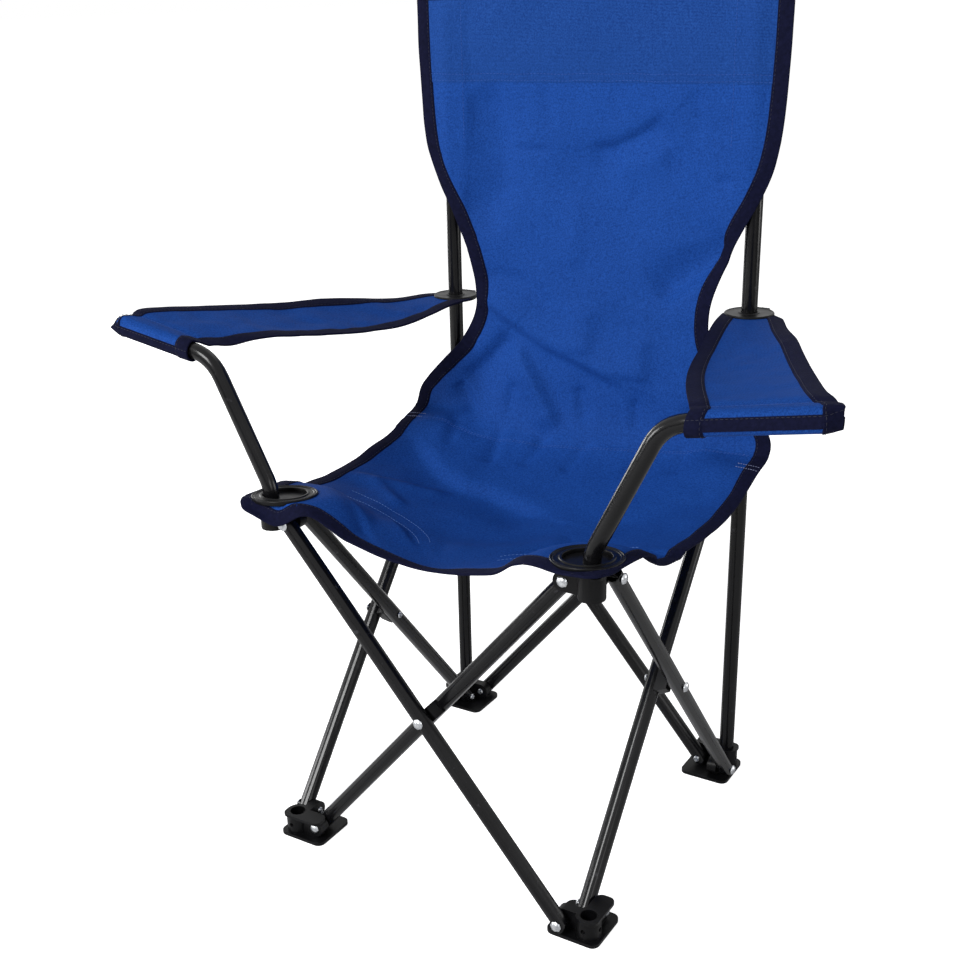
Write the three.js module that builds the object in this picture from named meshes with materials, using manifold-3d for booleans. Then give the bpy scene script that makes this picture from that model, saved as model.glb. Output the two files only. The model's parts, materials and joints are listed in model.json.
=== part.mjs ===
// Folding camp chair: a four-sided scissor frame of round steel tube, plastic feet and hubs,
// a slung seat and back, and two armrests. Millimetres, +Z up, the sitter faces -Y.
import * as THREE from 'three';
import { mergeVertices } from 'three/addons/utils/BufferGeometryUtils.js';
import Module from 'manifold-3d';

const wasm = await Module();
wasm.setup();

// ---------------------------------------------------------------- driving dimensions
const TUBE_D = 16;              // outside diameter of every steel tube
const TUBE_WALL = 1.2;
const LEG_SPAN = 464;           // leg tube, pivot to pivot
const OPEN_LEAN = 40;           // a leg's lean from upright with the chair open, degrees
const FOLDED_LEAN = 5;          // and with the chair folded
const PIVOT_REACH = 26;         // from a corner's post axis to the pivot on each of its arms

const FOOT_H = 25;
const FOOT_PIVOT_Z = 13.4;
const BASE_T = 3.5;             // the foot's ground plate
const BASE_BACK = 15;           // ground plate past the post axis, away from the arms
const BASE_REACH = 40;          // ground plate past the post axis, along the arms
const BASE_R = 8;
const TOP_FLANGE_T = 3;
const SOCKET_R = 12.5;          // outside radius of the post socket
const SOCKET_FLOOR = 5;
const SIDE_HOLE_D = 5;          // moulding hole in the socket's two outer walls

const ARM_END_R = 9.5;          // rounded end of an arm around its pivot
const OUTER_ARM_T = 10.5;       // the arm that has its leg on the outside
const INNER_ARM_T = 12.5;       // the arm that has its leg on the inside
const OUTER_ARM_FACE = 1.2;     // the outer leg's seat, outward of the post axis
const INNER_ARM_FACE = 7.2;     // the inner leg's seat, inward of the post axis

const HUB_UP = 16;              // hub above its pivots
const HUB_DOWN = 12;            // hub below its pivots
const HUB_FLANGE_T = 2.5;
const HUB_FLANGE_R = 15.5;
const HUB_PLATE_REACH = 30;     // plate over the leg ends, past the post axis along the arms
const HUB_PLATE_T = 2.6;
const HUB_PLATE_R = 7;
const HUB_PLATE_SET = 0.4;      // the plate's edges, inside the socket's wall

const RIVET_D = 5;
const RIVET_HEAD_D = 11.5;
const RIVET_HEAD_H = 3;
const RIVET_TAIL_D = 8;
const RIVET_TAIL_H = 1.8;
const RIVET_BORE_D = 3.2;       // the hollow end of the rolled tail
const RIVET_BORE_DEPTH = 3;
const DOME_R = 0.7;             // shoulder of a domed end: share of its radius, and of its height
const DOME_H = 0.75;

const SPACER_L = 24;            // along the inner leg
const SPACER_W = 15;
const SPACER_WRAP = 4;          // how far the saddle reaches around its tube

const POST_TOP = 842;
const CAP_H = 4;

const ARM_RISE = 30;            // hub pivot to the arm tube's first bend
const ARM_ELBOW = [61, 124];    // first bend to the elbow: sideways, up
const ARM_CROSS = [121, 21];    // elbow to the tube's free end: sideways, up
const ARM_BEND_R = 44;
const ARM_LOW_BEND_R = 40;
const ARM_ROWS = [1, 4, 1, 6, 1];      // along the tube's runs and bends
const ARM_SIDES = 12;

const CLOTH_T = 1.2;
const SEAT_RING_D = 66;
const SEAT_RING_HOLE_D = 44;
const SEAT_RING_SHIFT = 13;     // the ring's centre from the post axis, along the corner's diagonal
const ARMREST_RING_D = 50;
const RING_T = 2;               // each of a ring's two flanges
const RING_NECK = 2.4;          // wall of the neck that joins them through the cloth
const ARMREST_Z = { left: 518, right: 530 };   // each ring slides on its post

const SEAT_FRONT_DIP = 43;      // middle of the seat's front edge below its corners
const SEAT_REAR_DIP = 12;
const SEAT_SLING = 30;
const SEAT_SIDE_DIP = 27;
const SEAT_SIDE_SHAPE = 1.2;    // fullness of the side edge's hollow
const SEAT_DIP_SHAPE = { front: 3, rear: 1.5 };  // fullness of the hollow across
const SEAT_DIP_REACH = 52;      // where the full dip is reached, past the ring or the hub
const SEAT_CORNER_X = 26;       // pointed front corner past the post axis
const SEAT_CORNER_Y = 30;
const SEAT_REAR_X = 38;         // rear corner past the post axis
const SEAT_SIDE_BULGE = 5;
const SEAT_FRONT_BOW = 30;      // middle of the front edge, back from its corners
const CORNER_TAB = 46;          // the corner cloth that stays with its hub, from the post axis
const JUNCTION_GAP = 17;        // seat and back seam, clear of the back posts
const BACK_TOP = 850;
const BACK_POCKET_Z = 694;      // foot of the post pockets
const BACK_HOLLOW = 14;
const BACK_RISE = 1.6;          // how soon the edge reaches the posts: their height over its own
const POCKET_SEAM = 23;         // a post pocket's seam, inside the post axis
const POCKET_EASE = 0.5;
// the back's side edge: past the post axis, and height
const BACK_EDGE = [
  [40, 405], [27, 424], [5, 447], [-19, 472], [-35, 502], [-37.5, 530], [-27, 572], [-8, 614],
  [9, 646], [20, 674], [26, 705], [30, 770], [31, BACK_TOP],
];

const ARMREST_TAB = 30;         // cloth around the post, fore and aft
const ARMREST_IN = 26;          // armrest's edges at the post, inward and outward
const ARMREST_OUT = 34;
const ARMREST_FRONT_IN = 84;    // armrest's front corners, outward of the post axis
const ARMREST_FRONT_OUT = 194;
const ARMREST_BULGE = 18;       // middle of its inner edge, inward of the line between its ends
const ARMREST_TAPER = 0.55;     // narrowing of the tab behind the post, as a share of its width
const SLEEVE_GAP = 0.7;
const SLEEVE_WRAP = 290;        // how far the sleeve goes round the arm tube, degrees
const ARMREST_TILT = 12;        // its outer edge above its middle, and its inner edge below
const ARMREST_SAG = 6;
const ARMREST_ROWS = { wrap: 14, flat: 6 };

const FIT = 0.3;                // running clearance between touching pieces
const CLOTH_GAP = 0.3;
const SEAM_LAP = 2;             // a strap's hold on the cloth that it is sewn to

// ---------------------------------------------------------------- derived places
const rad = THREE.MathUtils.degToRad;
const tubeR = TUBE_D / 2;
const rivetHoleR = RIVET_D / 2 + FIT;
const boreR = tubeR + FIT;
const halfSpan = (LEG_SPAN * Math.sin(rad(OPEN_LEAN))) / 2;
const S = halfSpan + PIVOT_REACH;                              // post axis from the middle, X and Y
const hubPivotZ = FOOT_PIVOT_Z + LEG_SPAN * Math.cos(rad(OPEN_LEAN));
const crossingZ = (FOOT_PIVOT_Z + hubPivotZ) / 2;
// leg axes, outward and inward of the post axis
const outerPlane = OUTER_ARM_FACE + FIT + tubeR;
const innerPlane = INNER_ARM_FACE + FIT + tubeR;
const headSeatOuter = outerPlane + tubeR + FIT;
const headSeatInner = INNER_ARM_T - INNER_ARM_FACE + FIT;
const tailSeatOuter = OUTER_ARM_T - OUTER_ARM_FACE + FIT;
const tailSeatInner = innerPlane + tubeR + FIT;
const hubTop = hubPivotZ + HUB_UP;
const seatZ = hubTop + FIT + RING_T + CLOTH_GAP + CLOTH_T;     // upper face of the cloth at the corners
const seatRingR = SEAT_RING_D / 2;
const armrestRingR = ARMREST_RING_D / 2;
const junctionY = S - tubeR - JUNCTION_GAP;
const tabY = -S + CORNER_TAB;
const tabX = S - CORNER_TAB;
const seatFoldY = (tabY + junctionY) / 2;
const foldRise = LEG_SPAN * (Math.cos(rad(FOLDED_LEAN)) - Math.cos(rad(OPEN_LEAN)));
const backFoldZ = seatZ + foldRise / 2;
const elbowX = S + ARM_ELBOW[0];
const elbowZ = hubPivotZ + ARM_RISE + ARM_ELBOW[1];
const crossSlope = ARM_CROSS[1] / ARM_CROSS[0];
const armrestHingeY = S - ARMREST_TAB;
const armrestMidY = (armrestHingeY - S) / 2;

// ---------------------------------------------------------------- solids
const fromGeometry = (geometry) => {
  const bare = geometry.clone();
  bare.deleteAttribute('normal');
  bare.deleteAttribute('uv');
  const merged = mergeVertices(bare, 1e-4);
  const mesh = new wasm.Mesh({
    numProp: 3,
    vertProperties: new Float32Array(merged.attributes.position.array),
    triVerts: new Uint32Array(merged.index.array),
  });
  return new wasm.Manifold(mesh);
};

const fromPoints = (points, index) => {
  const geometry = new THREE.BufferGeometry();
  const places = new THREE.Float32BufferAttribute(points.flatMap((p) => p.toArray()), 3);
  geometry.setAttribute('position', places);
  geometry.setIndex(index);
  return fromGeometry(geometry);
};

const toGeometry = (solid) => {
  const mesh = solid.getMesh();
  const geometry = new THREE.BufferGeometry();
  const places = new THREE.BufferAttribute(new Float32Array(mesh.vertProperties), 3);
  geometry.setAttribute('position', places);
  geometry.setIndex(new THREE.BufferAttribute(new Uint32Array(mesh.triVerts), 1));
  const flat = geometry.toNonIndexed();
  flat.computeVertexNormals();
  return flat;
};

const union = (...solids) => solids.reduce((a, b) => a.add(b));
const cut = (solid, ...tools) => tools.reduce((a, b) => a.subtract(b), solid);

/** A shape extruded along +Z from z0 to z1. */
const prism = (shape, z0, z1, curveSegments = 5) => {
  const geometry = new THREE.ExtrudeGeometry(shape, { depth: z1 - z0, bevelEnabled: false, curveSegments });
  return fromGeometry(geometry.translate(0, 0, z0));
};

/** A shape drawn in the X-Z plane, extruded along Y from y0 to y1. */
const sidePrism = (shape, y0, y1, curveSegments = 5) => {
  const geometry = new THREE.ExtrudeGeometry(shape, { depth: y1 - y0, bevelEnabled: false, curveSegments });
  return fromGeometry(geometry.rotateX(Math.PI / 2).translate(0, y1, 0));
};

const circle = (r, x = 0, y = 0) => new THREE.Shape().absarc(x, y, r, 0, 2 * Math.PI, false);

const ringShape = (outer, inner) => {
  const shape = circle(outer);
  shape.holes.push(new THREE.Path().absarc(0, 0, inner, 0, 2 * Math.PI, true));
  return shape;
};

const roundedRect = (x0, y0, x1, y1, r) => {
  const shape = new THREE.Shape();
  shape.absarc(x1 - r, y1 - r, r, 0, Math.PI / 2, false);
  shape.absarc(x0 + r, y1 - r, r, Math.PI / 2, Math.PI, false);
  shape.absarc(x0 + r, y0 + r, r, Math.PI, 1.5 * Math.PI, false);
  shape.absarc(x1 - r, y0 + r, r, 1.5 * Math.PI, 2 * Math.PI, false);
  return shape;
};

/** A stadium: semicircles of radius r around (0, a) and (0, b). */
const stadium = (r, a, b) => {
  const shape = new THREE.Shape();
  shape.absarc(0, b, r, 0, Math.PI, false);
  shape.absarc(0, a, r, Math.PI, 2 * Math.PI, false);
  return shape;
};

const pinAlongY = (r, x, z, y0, y1, segments = 8) => {
  const geometry = new THREE.CylinderGeometry(r, r, y1 - y0, segments);
  return fromGeometry(geometry.translate(x, (y0 + y1) / 2, z));
};

const pinAlongX = (r, y, z, x0, x1, segments = 8) => {
  const geometry = new THREE.CylinderGeometry(r, r, x1 - x0, segments);
  return fromGeometry(geometry.rotateZ(Math.PI / 2).translate((x0 + x1) / 2, y, z));
};

const boreAlongZ = (r, z0, z1, x = 0, y = 0, segments = 7) => prism(circle(r, x, y), z0, z1, segments);

/**
 * A thin closed sheet from a surface of (u, v) in 0..1, its thickness laid on the far side of the surface.
 */
const sheet = (surface, nu, nv, thickness = CLOTH_T) => {
  const h = 1e-3;
  const top = [];
  const under = [];
  for (let j = 0; j <= nv; j++) {
    for (let i = 0; i <= nu; i++) {
      const u = i / nu;
      const v = j / nv;
      const p = surface(u, v);
      const du = surface(Math.min(u + h, 1), v).sub(surface(Math.max(u - h, 0), v));
      const dv = surface(u, Math.min(v + h, 1)).sub(surface(u, Math.max(v - h, 0)));
      const n = du.cross(dv).normalize();
      top.push(p);
      under.push(p.clone().addScaledVector(n, -thickness));
    }
  }
  const points = [...top, ...under];
  const row = nu + 1;
  const half = top.length;
  const index = [];
  const quad = (a, b, c, d) => index.push(a, b, c, a, c, d);
  for (let j = 0; j < nv; j++) {
    for (let i = 0; i < nu; i++) {
      const a = j * row + i;
      quad(a, a + 1, a + 1 + row, a + row);
      quad(half + a, half + a + row, half + a + 1 + row, half + a + 1);
    }
  }
  const wall = (a, b) => quad(b, a, half + a, half + b);
  for (let i = 0; i < nu; i++) {
    wall(i, i + 1);
    wall(nv * row + i + 1, nv * row + i);
  }
  for (let j = 0; j < nv; j++) {
    wall((j + 1) * row, j * row);
    wall(j * row + nu, (j + 1) * row + nu);
  }
  return fromPoints(points, index);
};

// ---------------------------------------------------------------- feet and hubs
/** An arm along -X whose leg lies outward (-Y) of it, with a rounded end around its pivot at height z. */
const outerArm = (z, z0, z1) => {
  const side = new THREE.Shape();
  side.moveTo(0, z0);
  side.lineTo(-PIVOT_REACH, z0);
  side.absarc(-PIVOT_REACH, z, ARM_END_R, 1.5 * Math.PI, Math.PI / 2, true);
  side.lineTo(-SOCKET_R, z1);
  side.lineTo(0, z1);
  side.closePath();
  return sidePrism(side, -OUTER_ARM_FACE, OUTER_ARM_T - OUTER_ARM_FACE);
};

/** An arm along +Y whose leg lies inward (-X) of it. */
const innerArm = (z, z0, z1) => {
  const side = new THREE.Shape();
  side.moveTo(0, z0);
  side.lineTo(PIVOT_REACH, z0);
  side.absarc(PIVOT_REACH, z, ARM_END_R, 1.5 * Math.PI, Math.PI / 2, false);
  side.lineTo(SOCKET_R, z1);
  side.lineTo(0, z1);
  side.closePath();
  const settings = { depth: INNER_ARM_T, bevelEnabled: false, curveSegments: 5 };
  const along = new THREE.ExtrudeGeometry(side, settings);
  along.rotateX(Math.PI / 2).rotateZ(Math.PI / 2).translate(-INNER_ARM_FACE, 0, 0);
  return fromGeometry(along);
};

const armHoles = (z) => [
  pinAlongY(rivetHoleR, -PIVOT_REACH, z, -SOCKET_R * 2, SOCKET_R * 2),
  pinAlongX(rivetHoleR, PIVOT_REACH, z, -SOCKET_R * 2, SOCKET_R * 2),
];

/** The front right foot, with its post axis at the origin and the ground at z = 0. */
const footSolid = () => {
  const base = prism(roundedRect(-BASE_REACH, -BASE_BACK, BASE_BACK, BASE_REACH, BASE_R), 0, BASE_T, 3);
  const socket = boreAlongZ(SOCKET_R, BASE_T / 2, FOOT_H);
  const armTop = FOOT_PIVOT_Z + ARM_END_R;
  const outer = outerArm(FOOT_PIVOT_Z, BASE_T / 2, armTop);
  const inner = innerArm(FOOT_PIVOT_Z, BASE_T / 2, armTop);
  const flange = prism(
    roundedRect(-INNER_ARM_FACE, -SOCKET_R, SOCKET_R, PIVOT_REACH + ARM_END_R - FIT, INNER_ARM_FACE),
    FOOT_H - TOP_FLANGE_T, FOOT_H, 3,
  );
  const web = prism(
    roundedRect(-INNER_ARM_FACE, 0, INNER_ARM_T - INNER_ARM_FACE, PIVOT_REACH, 1),
    armTop - BASE_T, FOOT_H - TOP_FLANGE_T / 2, 1,
  );
  const post = boreAlongZ(boreR, SOCKET_FLOOR, FOOT_H + 1);
  const holeZ = (SOCKET_FLOOR + FOOT_H - TOP_FLANGE_T) / 2;
  const sideHoles = [
    pinAlongY(SIDE_HOLE_D / 2, 0, holeZ, -SOCKET_R * 2, 0),
    pinAlongX(SIDE_HOLE_D / 2, 0, holeZ, 0, SOCKET_R * 2),
  ];
  return cut(union(base, socket, outer, inner, web, flange), post, ...sideHoles, ...armHoles(FOOT_PIVOT_Z));
};

/** The front right hub, with its post axis at the origin and its pivots at z = 0. */
const hubSolid = () => {
  const socket = boreAlongZ(SOCKET_R, -HUB_DOWN, HUB_UP);
  const flange = boreAlongZ(HUB_FLANGE_R, HUB_UP - HUB_FLANGE_T, HUB_UP);
  const arms = union(outerArm(0, -ARM_END_R, ARM_END_R), innerArm(0, -ARM_END_R, ARM_END_R));
  const drilled = cut(arms, ...armHoles(0));
  const inset = SOCKET_R - HUB_PLATE_SET;
  const plate = prism(
    roundedRect(-HUB_PLATE_REACH, -inset, inset, HUB_PLATE_REACH, HUB_PLATE_R),
    ARM_END_R - HUB_PLATE_SET, ARM_END_R - HUB_PLATE_SET + HUB_PLATE_T, 3,
  );
  // a hub's arms are the foot's, swapped across the corner's diagonal
  const swapped = drilled.mirror([1, 1, 0]);
  return cut(union(socket, flange, plate, swapped), boreAlongZ(boreR, -HUB_DOWN - 1, HUB_UP + 1));
};

// ---------------------------------------------------------------- tubes, rivets and spacers
/** A leg along +Z from its foot pivot at the origin, drilled across Y at both ends and in the middle. */
const legSolid = () => {
  const wall = prism(ringShape(tubeR, tubeR - TUBE_WALL), -tubeR, LEG_SPAN + tubeR, 6);
  const ends = new THREE.ExtrudeGeometry(stadium(tubeR, 0, LEG_SPAN), {
    depth: 2 * TUBE_D, bevelEnabled: false, curveSegments: 4,
  });
  const rounded = wall.intersect(fromGeometry(ends.rotateX(Math.PI / 2).translate(0, TUBE_D, 0)));
  const holes = [0, LEG_SPAN / 2, LEG_SPAN].map((z) => pinAlongY(rivetHoleR, 0, z, -TUBE_D, TUBE_D));
  return cut(rounded, ...holes);
};

/** A rivet along Y: the domed head is seated at y = -head, and the rolled tail at y = tail. */
const rivetGeometry = (head, tail) => {
  const headR = RIVET_HEAD_D / 2;
  const profile = [
    [0, -head - RIVET_HEAD_H],
    [headR * DOME_R, -head - RIVET_HEAD_H * DOME_H],
    [headR, -head],
    [RIVET_D / 2, -head],
    [RIVET_D / 2, tail],
    [RIVET_TAIL_D / 2, tail],
    [(RIVET_TAIL_D + RIVET_BORE_D) / 4, tail + RIVET_TAIL_H],
    [RIVET_BORE_D / 2, tail - RIVET_BORE_DEPTH],
    [0, tail - RIVET_BORE_DEPTH],
  ];
  return new THREE.LatheGeometry(profile.map(([r, y]) => new THREE.Vector2(r, y)), 8);
};

/** The crossing spacer in the inner leg's frame: its saddle sits on that tube, its face meets the other. */
const spacerSolid = () => {
  const face = outerPlane - tubeR - FIT;                        // outward of the post axis plane
  const seat = innerPlane - tubeR;
  const saddleDepth = seat + SPACER_WRAP;
  const side = new THREE.Shape();
  side.moveTo(-SPACER_L / 2, -saddleDepth);
  side.lineTo(-SPACER_L / 2, -seat);
  side.lineTo(-SPACER_W / 2, face);
  side.lineTo(SPACER_W / 2, face);
  side.lineTo(SPACER_L / 2, -seat);
  side.lineTo(SPACER_L / 2, -saddleDepth);
  side.closePath();
  const depth = SPACER_W;
  const block = new THREE.ExtrudeGeometry(side, { depth, bevelEnabled: false });
  // shape X runs along the leg (Z), shape Y runs outward (-Y)
  block.translate(0, 0, -depth / 2).rotateX(Math.PI).rotateY(Math.PI / 2);
  const tube = boreAlongZ(tubeR + FIT, -SPACER_L, SPACER_L, 0, innerPlane);
  return cut(fromGeometry(block), tube, pinAlongY(rivetHoleR, 0, 0, -TUBE_D * 2, TUBE_D * 2));
};

/** A back post from its socket's floor, closed at the top by its cap. */
const postSolid = () => {
  const z0 = SOCKET_FLOOR + FIT;
  const capTop = new THREE.Vector2(0, POST_TOP + CAP_H);
  const profile = [
    new THREE.Vector2(tubeR - TUBE_WALL, z0),
    new THREE.Vector2(tubeR, z0),
    new THREE.Vector2(tubeR, POST_TOP),
    new THREE.Vector2(tubeR * DOME_R, POST_TOP + CAP_H * DOME_H),
    capTop,
    new THREE.Vector2(0, POST_TOP - CAP_H),
    new THREE.Vector2(tubeR - TUBE_WALL, POST_TOP - CAP_H),
    new THREE.Vector2(tubeR - TUBE_WALL, z0),
  ];
  return fromGeometry(new THREE.LatheGeometry(profile, 16).rotateX(Math.PI / 2));
};

/** Straight runs and arcs through corner points in the X-Z plane. */
const bentPath = (corners, radii) => {
  const path = new THREE.CurvePath();
  let from = corners[0];
  for (let i = 1; i < corners.length - 1; i++) {
    const here = corners[i];
    const back = corners[i - 1].clone().sub(here).normalize();
    const on = corners[i + 1].clone().sub(here).normalize();
    const half = back.angleTo(on) / 2;
    const setback = radii[i - 1] / Math.tan(half);
    const start = here.clone().addScaledVector(back, setback);
    const end = here.clone().addScaledVector(on, setback);
    path.add(new THREE.LineCurve3(from, start));
    path.add(new THREE.QuadraticBezierCurve3(start, here, end));
    from = end;
  }
  path.add(new THREE.LineCurve3(from, corners.at(-1)));
  return path;
};

/** Sweeps a ring along a path as one closed solid, with so many sections on each of its curves. */
const sweptTube = (path, sections, sides) => {
  const stations = [];
  path.curves.forEach((curve, k) => {
    const n = sections[k];
    for (let i = k === 0 ? 0 : 1; i <= n; i++) {
      stations.push([curve.getPoint(i / n), curve.getTangent(i / n)]);
    }
  });
  const across = new THREE.Vector3(0, 1, 0);
  const ring = ([p, t], r, i) => {
    const a = (2 * Math.PI * i) / sides;
    const n = new THREE.Vector3().crossVectors(across, t).normalize();
    return p.clone().addScaledVector(n, r * Math.cos(a)).addScaledVector(across, r * Math.sin(a));
  };
  const outer = tubeR;
  const inner = tubeR - TUBE_WALL;
  const loops = [
    ...stations.map((s) => [s, outer]),
    ...stations.map((s) => [s, inner]).reverse(),
  ];
  const points = loops.flatMap(([s, r]) => Array.from({ length: sides }, (_, i) => ring(s, r, i)));
  const index = [];
  loops.forEach((_, j) => {
    const k = (j + 1) % loops.length;
    for (let i = 0; i < sides; i++) {
      const m = (i + 1) % sides;
      index.push(j * sides + i, j * sides + m, k * sides + m, j * sides + i, k * sides + m, k * sides + i);
    }
  });
  return fromPoints(points, index);
};

const armCorners = [
  new THREE.Vector3(S, 0, hubPivotZ - HUB_DOWN + FIT),
  new THREE.Vector3(S, 0, hubPivotZ + ARM_RISE),
  new THREE.Vector3(elbowX, 0, elbowZ),
  new THREE.Vector3(elbowX + ARM_CROSS[0], 0, elbowZ + ARM_CROSS[1]),
];
const armTube = sweptTube(bentPath(armCorners, [ARM_LOW_BEND_R, ARM_BEND_R]), ARM_ROWS, ARM_SIDES);

// ---------------------------------------------------------------- rings
/** Two flanges and a neck around a hole, gripping cloth between them whose upper face is at height z. */
const ringGeometry = (holeR, rimR, z) => {
  const neckR = holeR + RING_NECK;
  const crown = z + CLOTH_GAP + RING_T;
  const foot = z - CLOTH_T - CLOTH_GAP - RING_T;
  const profile = [
    [holeR, foot + RING_T / 2],
    [neckR, foot],
    [rimR - RING_T / 2, foot],
    [rimR, foot + RING_T],
    [neckR, foot + RING_T],
    [neckR, crown - RING_T],
    [rimR, crown - RING_T],
    [rimR - RING_T / 2, crown],
    [neckR, crown],
    [holeR, crown - RING_T / 2],
    [holeR, foot + RING_T / 2],
  ];
  const points = profile.map(([r, h]) => new THREE.Vector2(r, h));
  return fromGeometry(new THREE.LatheGeometry(points, 20).rotateX(Math.PI / 2));
};

const seatRingAt = S - SEAT_RING_SHIFT * Math.SQRT1_2;

// ---------------------------------------------------------------- cloth surfaces
const smooth = (x) => THREE.MathUtils.smoothstep(x, 0, 1);
const mix = THREE.MathUtils.lerp;

/** The seat: s runs -1..1 across, y runs from the front edge to the seam with the back. */
const seatWidth = (y) => {
  const t = THREE.MathUtils.clamp((y + S) / (junctionY + S), 0, 1);
  return S + mix(SEAT_CORNER_X, SEAT_REAR_X, t) + SEAT_SIDE_BULGE * Math.sin(Math.PI * t);
};

const seatHeight = (x, y) => {
  const t = THREE.MathUtils.clamp((y + S) / (junctionY + S), 0, 1);
  const s = Math.min(Math.abs(x) / seatWidth(y), 1);
  const middle = mix(SEAT_FRONT_DIP, SEAT_REAR_DIP, t) + SEAT_SLING * Math.sin(Math.PI * t);
  const edge = SEAT_SIDE_DIP * Math.sin(Math.PI * t) ** SEAT_SIDE_SHAPE;
  const fullness = mix(SEAT_DIP_SHAPE.front, SEAT_DIP_SHAPE.rear, smooth(2 * t));
  const dip = edge + (middle - edge) * (1 - s * s) ** fullness;
  const ring = Math.hypot(Math.abs(x) - seatRingAt, y + seatRingAt) - seatRingR - 2 * RING_T;
  const rearHub = Math.hypot(Math.abs(x) - S, y - junctionY) - HUB_FLANGE_R;
  return seatZ - dip * smooth(Math.min(ring, rearHub) / SEAT_DIP_REACH);
};

const seatFrontY = (s) => -S - SEAT_CORNER_Y + SEAT_FRONT_BOW * (1 - s * s) ** 2;

const seatPoint = (s, y) => {
  const x = s * seatWidth(y);
  return new THREE.Vector3(x, y, seatHeight(x, y));
};

/** The back: half width at a height, and the cloth's depth in Y. */
const backEdge = [[SEAT_REAR_X, seatZ], ...BACK_EDGE].map(([out, z]) => new THREE.Vector3(S + out, 0, z));
const backOutline = new THREE.CatmullRomCurve3(backEdge, false, 'centripetal').getPoints(160);

const backWidth = (z) => {
  const k = backOutline.findIndex((p) => p.z >= z);
  if (k <= 0) return k === 0 ? backOutline[0].x : backOutline.at(-1).x;
  const [a, b] = [backOutline[k - 1], backOutline[k]];
  return mix(a.x, b.x, (z - a.z) / (b.z - a.z));
};

const backDepth = (x, z) => {
  const t = (z - seatZ) / (BACK_TOP - seatZ);
  const edge = mix(junctionY, S - boreR - CLOTH_T - POCKET_EASE, smooth(t * BACK_RISE));
  const inward = Math.max(0, 1 - (x / (S - POCKET_SEAM)) ** 2);
  return edge + BACK_HOLLOW * Math.sin(Math.PI * Math.min(t, 1)) * inward;
};

const backPoint = (s, z) => {
  const x = s * backWidth(z);
  return new THREE.Vector3(x, backDepth(x, z), z);
};

/** The armrest on the right: f runs 0..1 from the inner edge to the outer edge. */
const armrestX = (f, y) => {
  const t = THREE.MathUtils.clamp((S - y) / (2 * S), 0, 1);
  const inner = mix(-ARMREST_IN, ARMREST_FRONT_IN, t) - ARMREST_BULGE * Math.sin(Math.PI * t);
  const outer = mix(ARMREST_OUT, ARMREST_FRONT_OUT, t);
  const taper = 1 - ARMREST_TAPER * Math.max(0, (y - S) / ARMREST_TAB) ** 2;
  return S + mix(inner, outer, f) * taper;
};

const crossLean = Math.atan(crossSlope);
const sleeveR = tubeR / Math.cos(crossLean) + SLEEVE_GAP + CLOTH_T;
const sleeveZ = (x) => elbowZ + (x - elbowX) * crossSlope + sleeveR;

const armrestPoint = (f, y, ringZ) => {
  const x = armrestX(f, y);
  const t = THREE.MathUtils.clamp((armrestHingeY - y) / (armrestHingeY + S), 0, 1);
  const side = 2 * f - 1;
  const sag = ARMREST_SAG * Math.sin(Math.PI * t) * (1 - side * side);
  const slung = ringZ + ARMREST_TILT * side * smooth(3 * t) - sag;
  return new THREE.Vector3(x, y, mix(slung, sleeveZ(x), smooth(t)));
};

// ---------------------------------------------------------------- cloth pieces
const sideways = (surface) => (u, v) => surface(2 * u - 1, v);

/** The seat between the corner tabs, from its bowed front edge to the middle fold. */
const seatFront = () => {
  const y0 = tabY + CLOTH_GAP;
  const y1 = seatFoldY - CLOTH_GAP / 2;
  const main = sheet(sideways((s, v) => seatPoint(s, mix(y0, y1, v))), 14, 5);
  const noseEdge = tabX - CLOTH_GAP;
  const nose = sheet(sideways((s, v) => {
    const x = s * noseEdge;
    const y = mix(seatFrontY(x / seatWidth(-S)), y0 + 1, v);
    return new THREE.Vector3(x, y, seatHeight(x, y));
  }), 10, 2);
  return union(main, nose);
};

const seatRear = () => {
  const y0 = seatFoldY + CLOTH_GAP / 2;
  const y1 = junctionY - CLOTH_GAP / 2;
  const main = sheet(sideways((s, v) => seatPoint(s, mix(y0, y1, v))), 14, 5);
  const strapZ = seatZ - CLOTH_T - CLOTH_GAP;
  const loops = [-1, 1].map((side) => {
    const ring = prism(ringShape(boreR + CLOTH_T, boreR), seatZ - CLOTH_T, seatZ + TUBE_D, 6);
    const outline = roundedRect(-tubeR, -tubeR - JUNCTION_GAP - SEAM_LAP, tubeR, -tubeR, 1);
    const strap = prism(outline, strapZ, strapZ + CLOTH_T, 1);
    const loop = cut(union(ring, strap), boreAlongZ(boreR, seatZ - TUBE_D, seatZ + 2 * TUBE_D, 0, 0, 6));
    return loop.translate([side * S, S, 0]);
  });
  return union(main, ...loops);
};

const backLower = () => {
  return sheet(sideways((s, v) => {
    const top = backPoint(s, backFoldZ - CLOTH_GAP);
    const x = s * backWidth(mix(seatZ, backFoldZ, v));
    const seam = seatHeight(x, junctionY) + CLOTH_GAP;
    return new THREE.Vector3(x, mix(junctionY, top.y, v), mix(seam, top.z, v));
  }), 14, 2);
};

const backUpper = () => {
  const panel = sheet(sideways((s, v) => backPoint(s, mix(backFoldZ + CLOTH_GAP, BACK_TOP, v))), 10, 14);
  const pockets = [-1, 1].map((side) => {
    const sleeve = prism(ringShape(boreR + CLOTH_T, boreR), BACK_POCKET_Z, BACK_TOP, 6);
    return sleeve.translate([side * S, S, 0]);
  });
  const bores = [-1, 1].map((side) => boreAlongZ(boreR, BACK_POCKET_Z - S, BACK_TOP + 1, side * S, S, 6));
  return cut(union(panel, ...pockets), ...bores);
};

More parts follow.
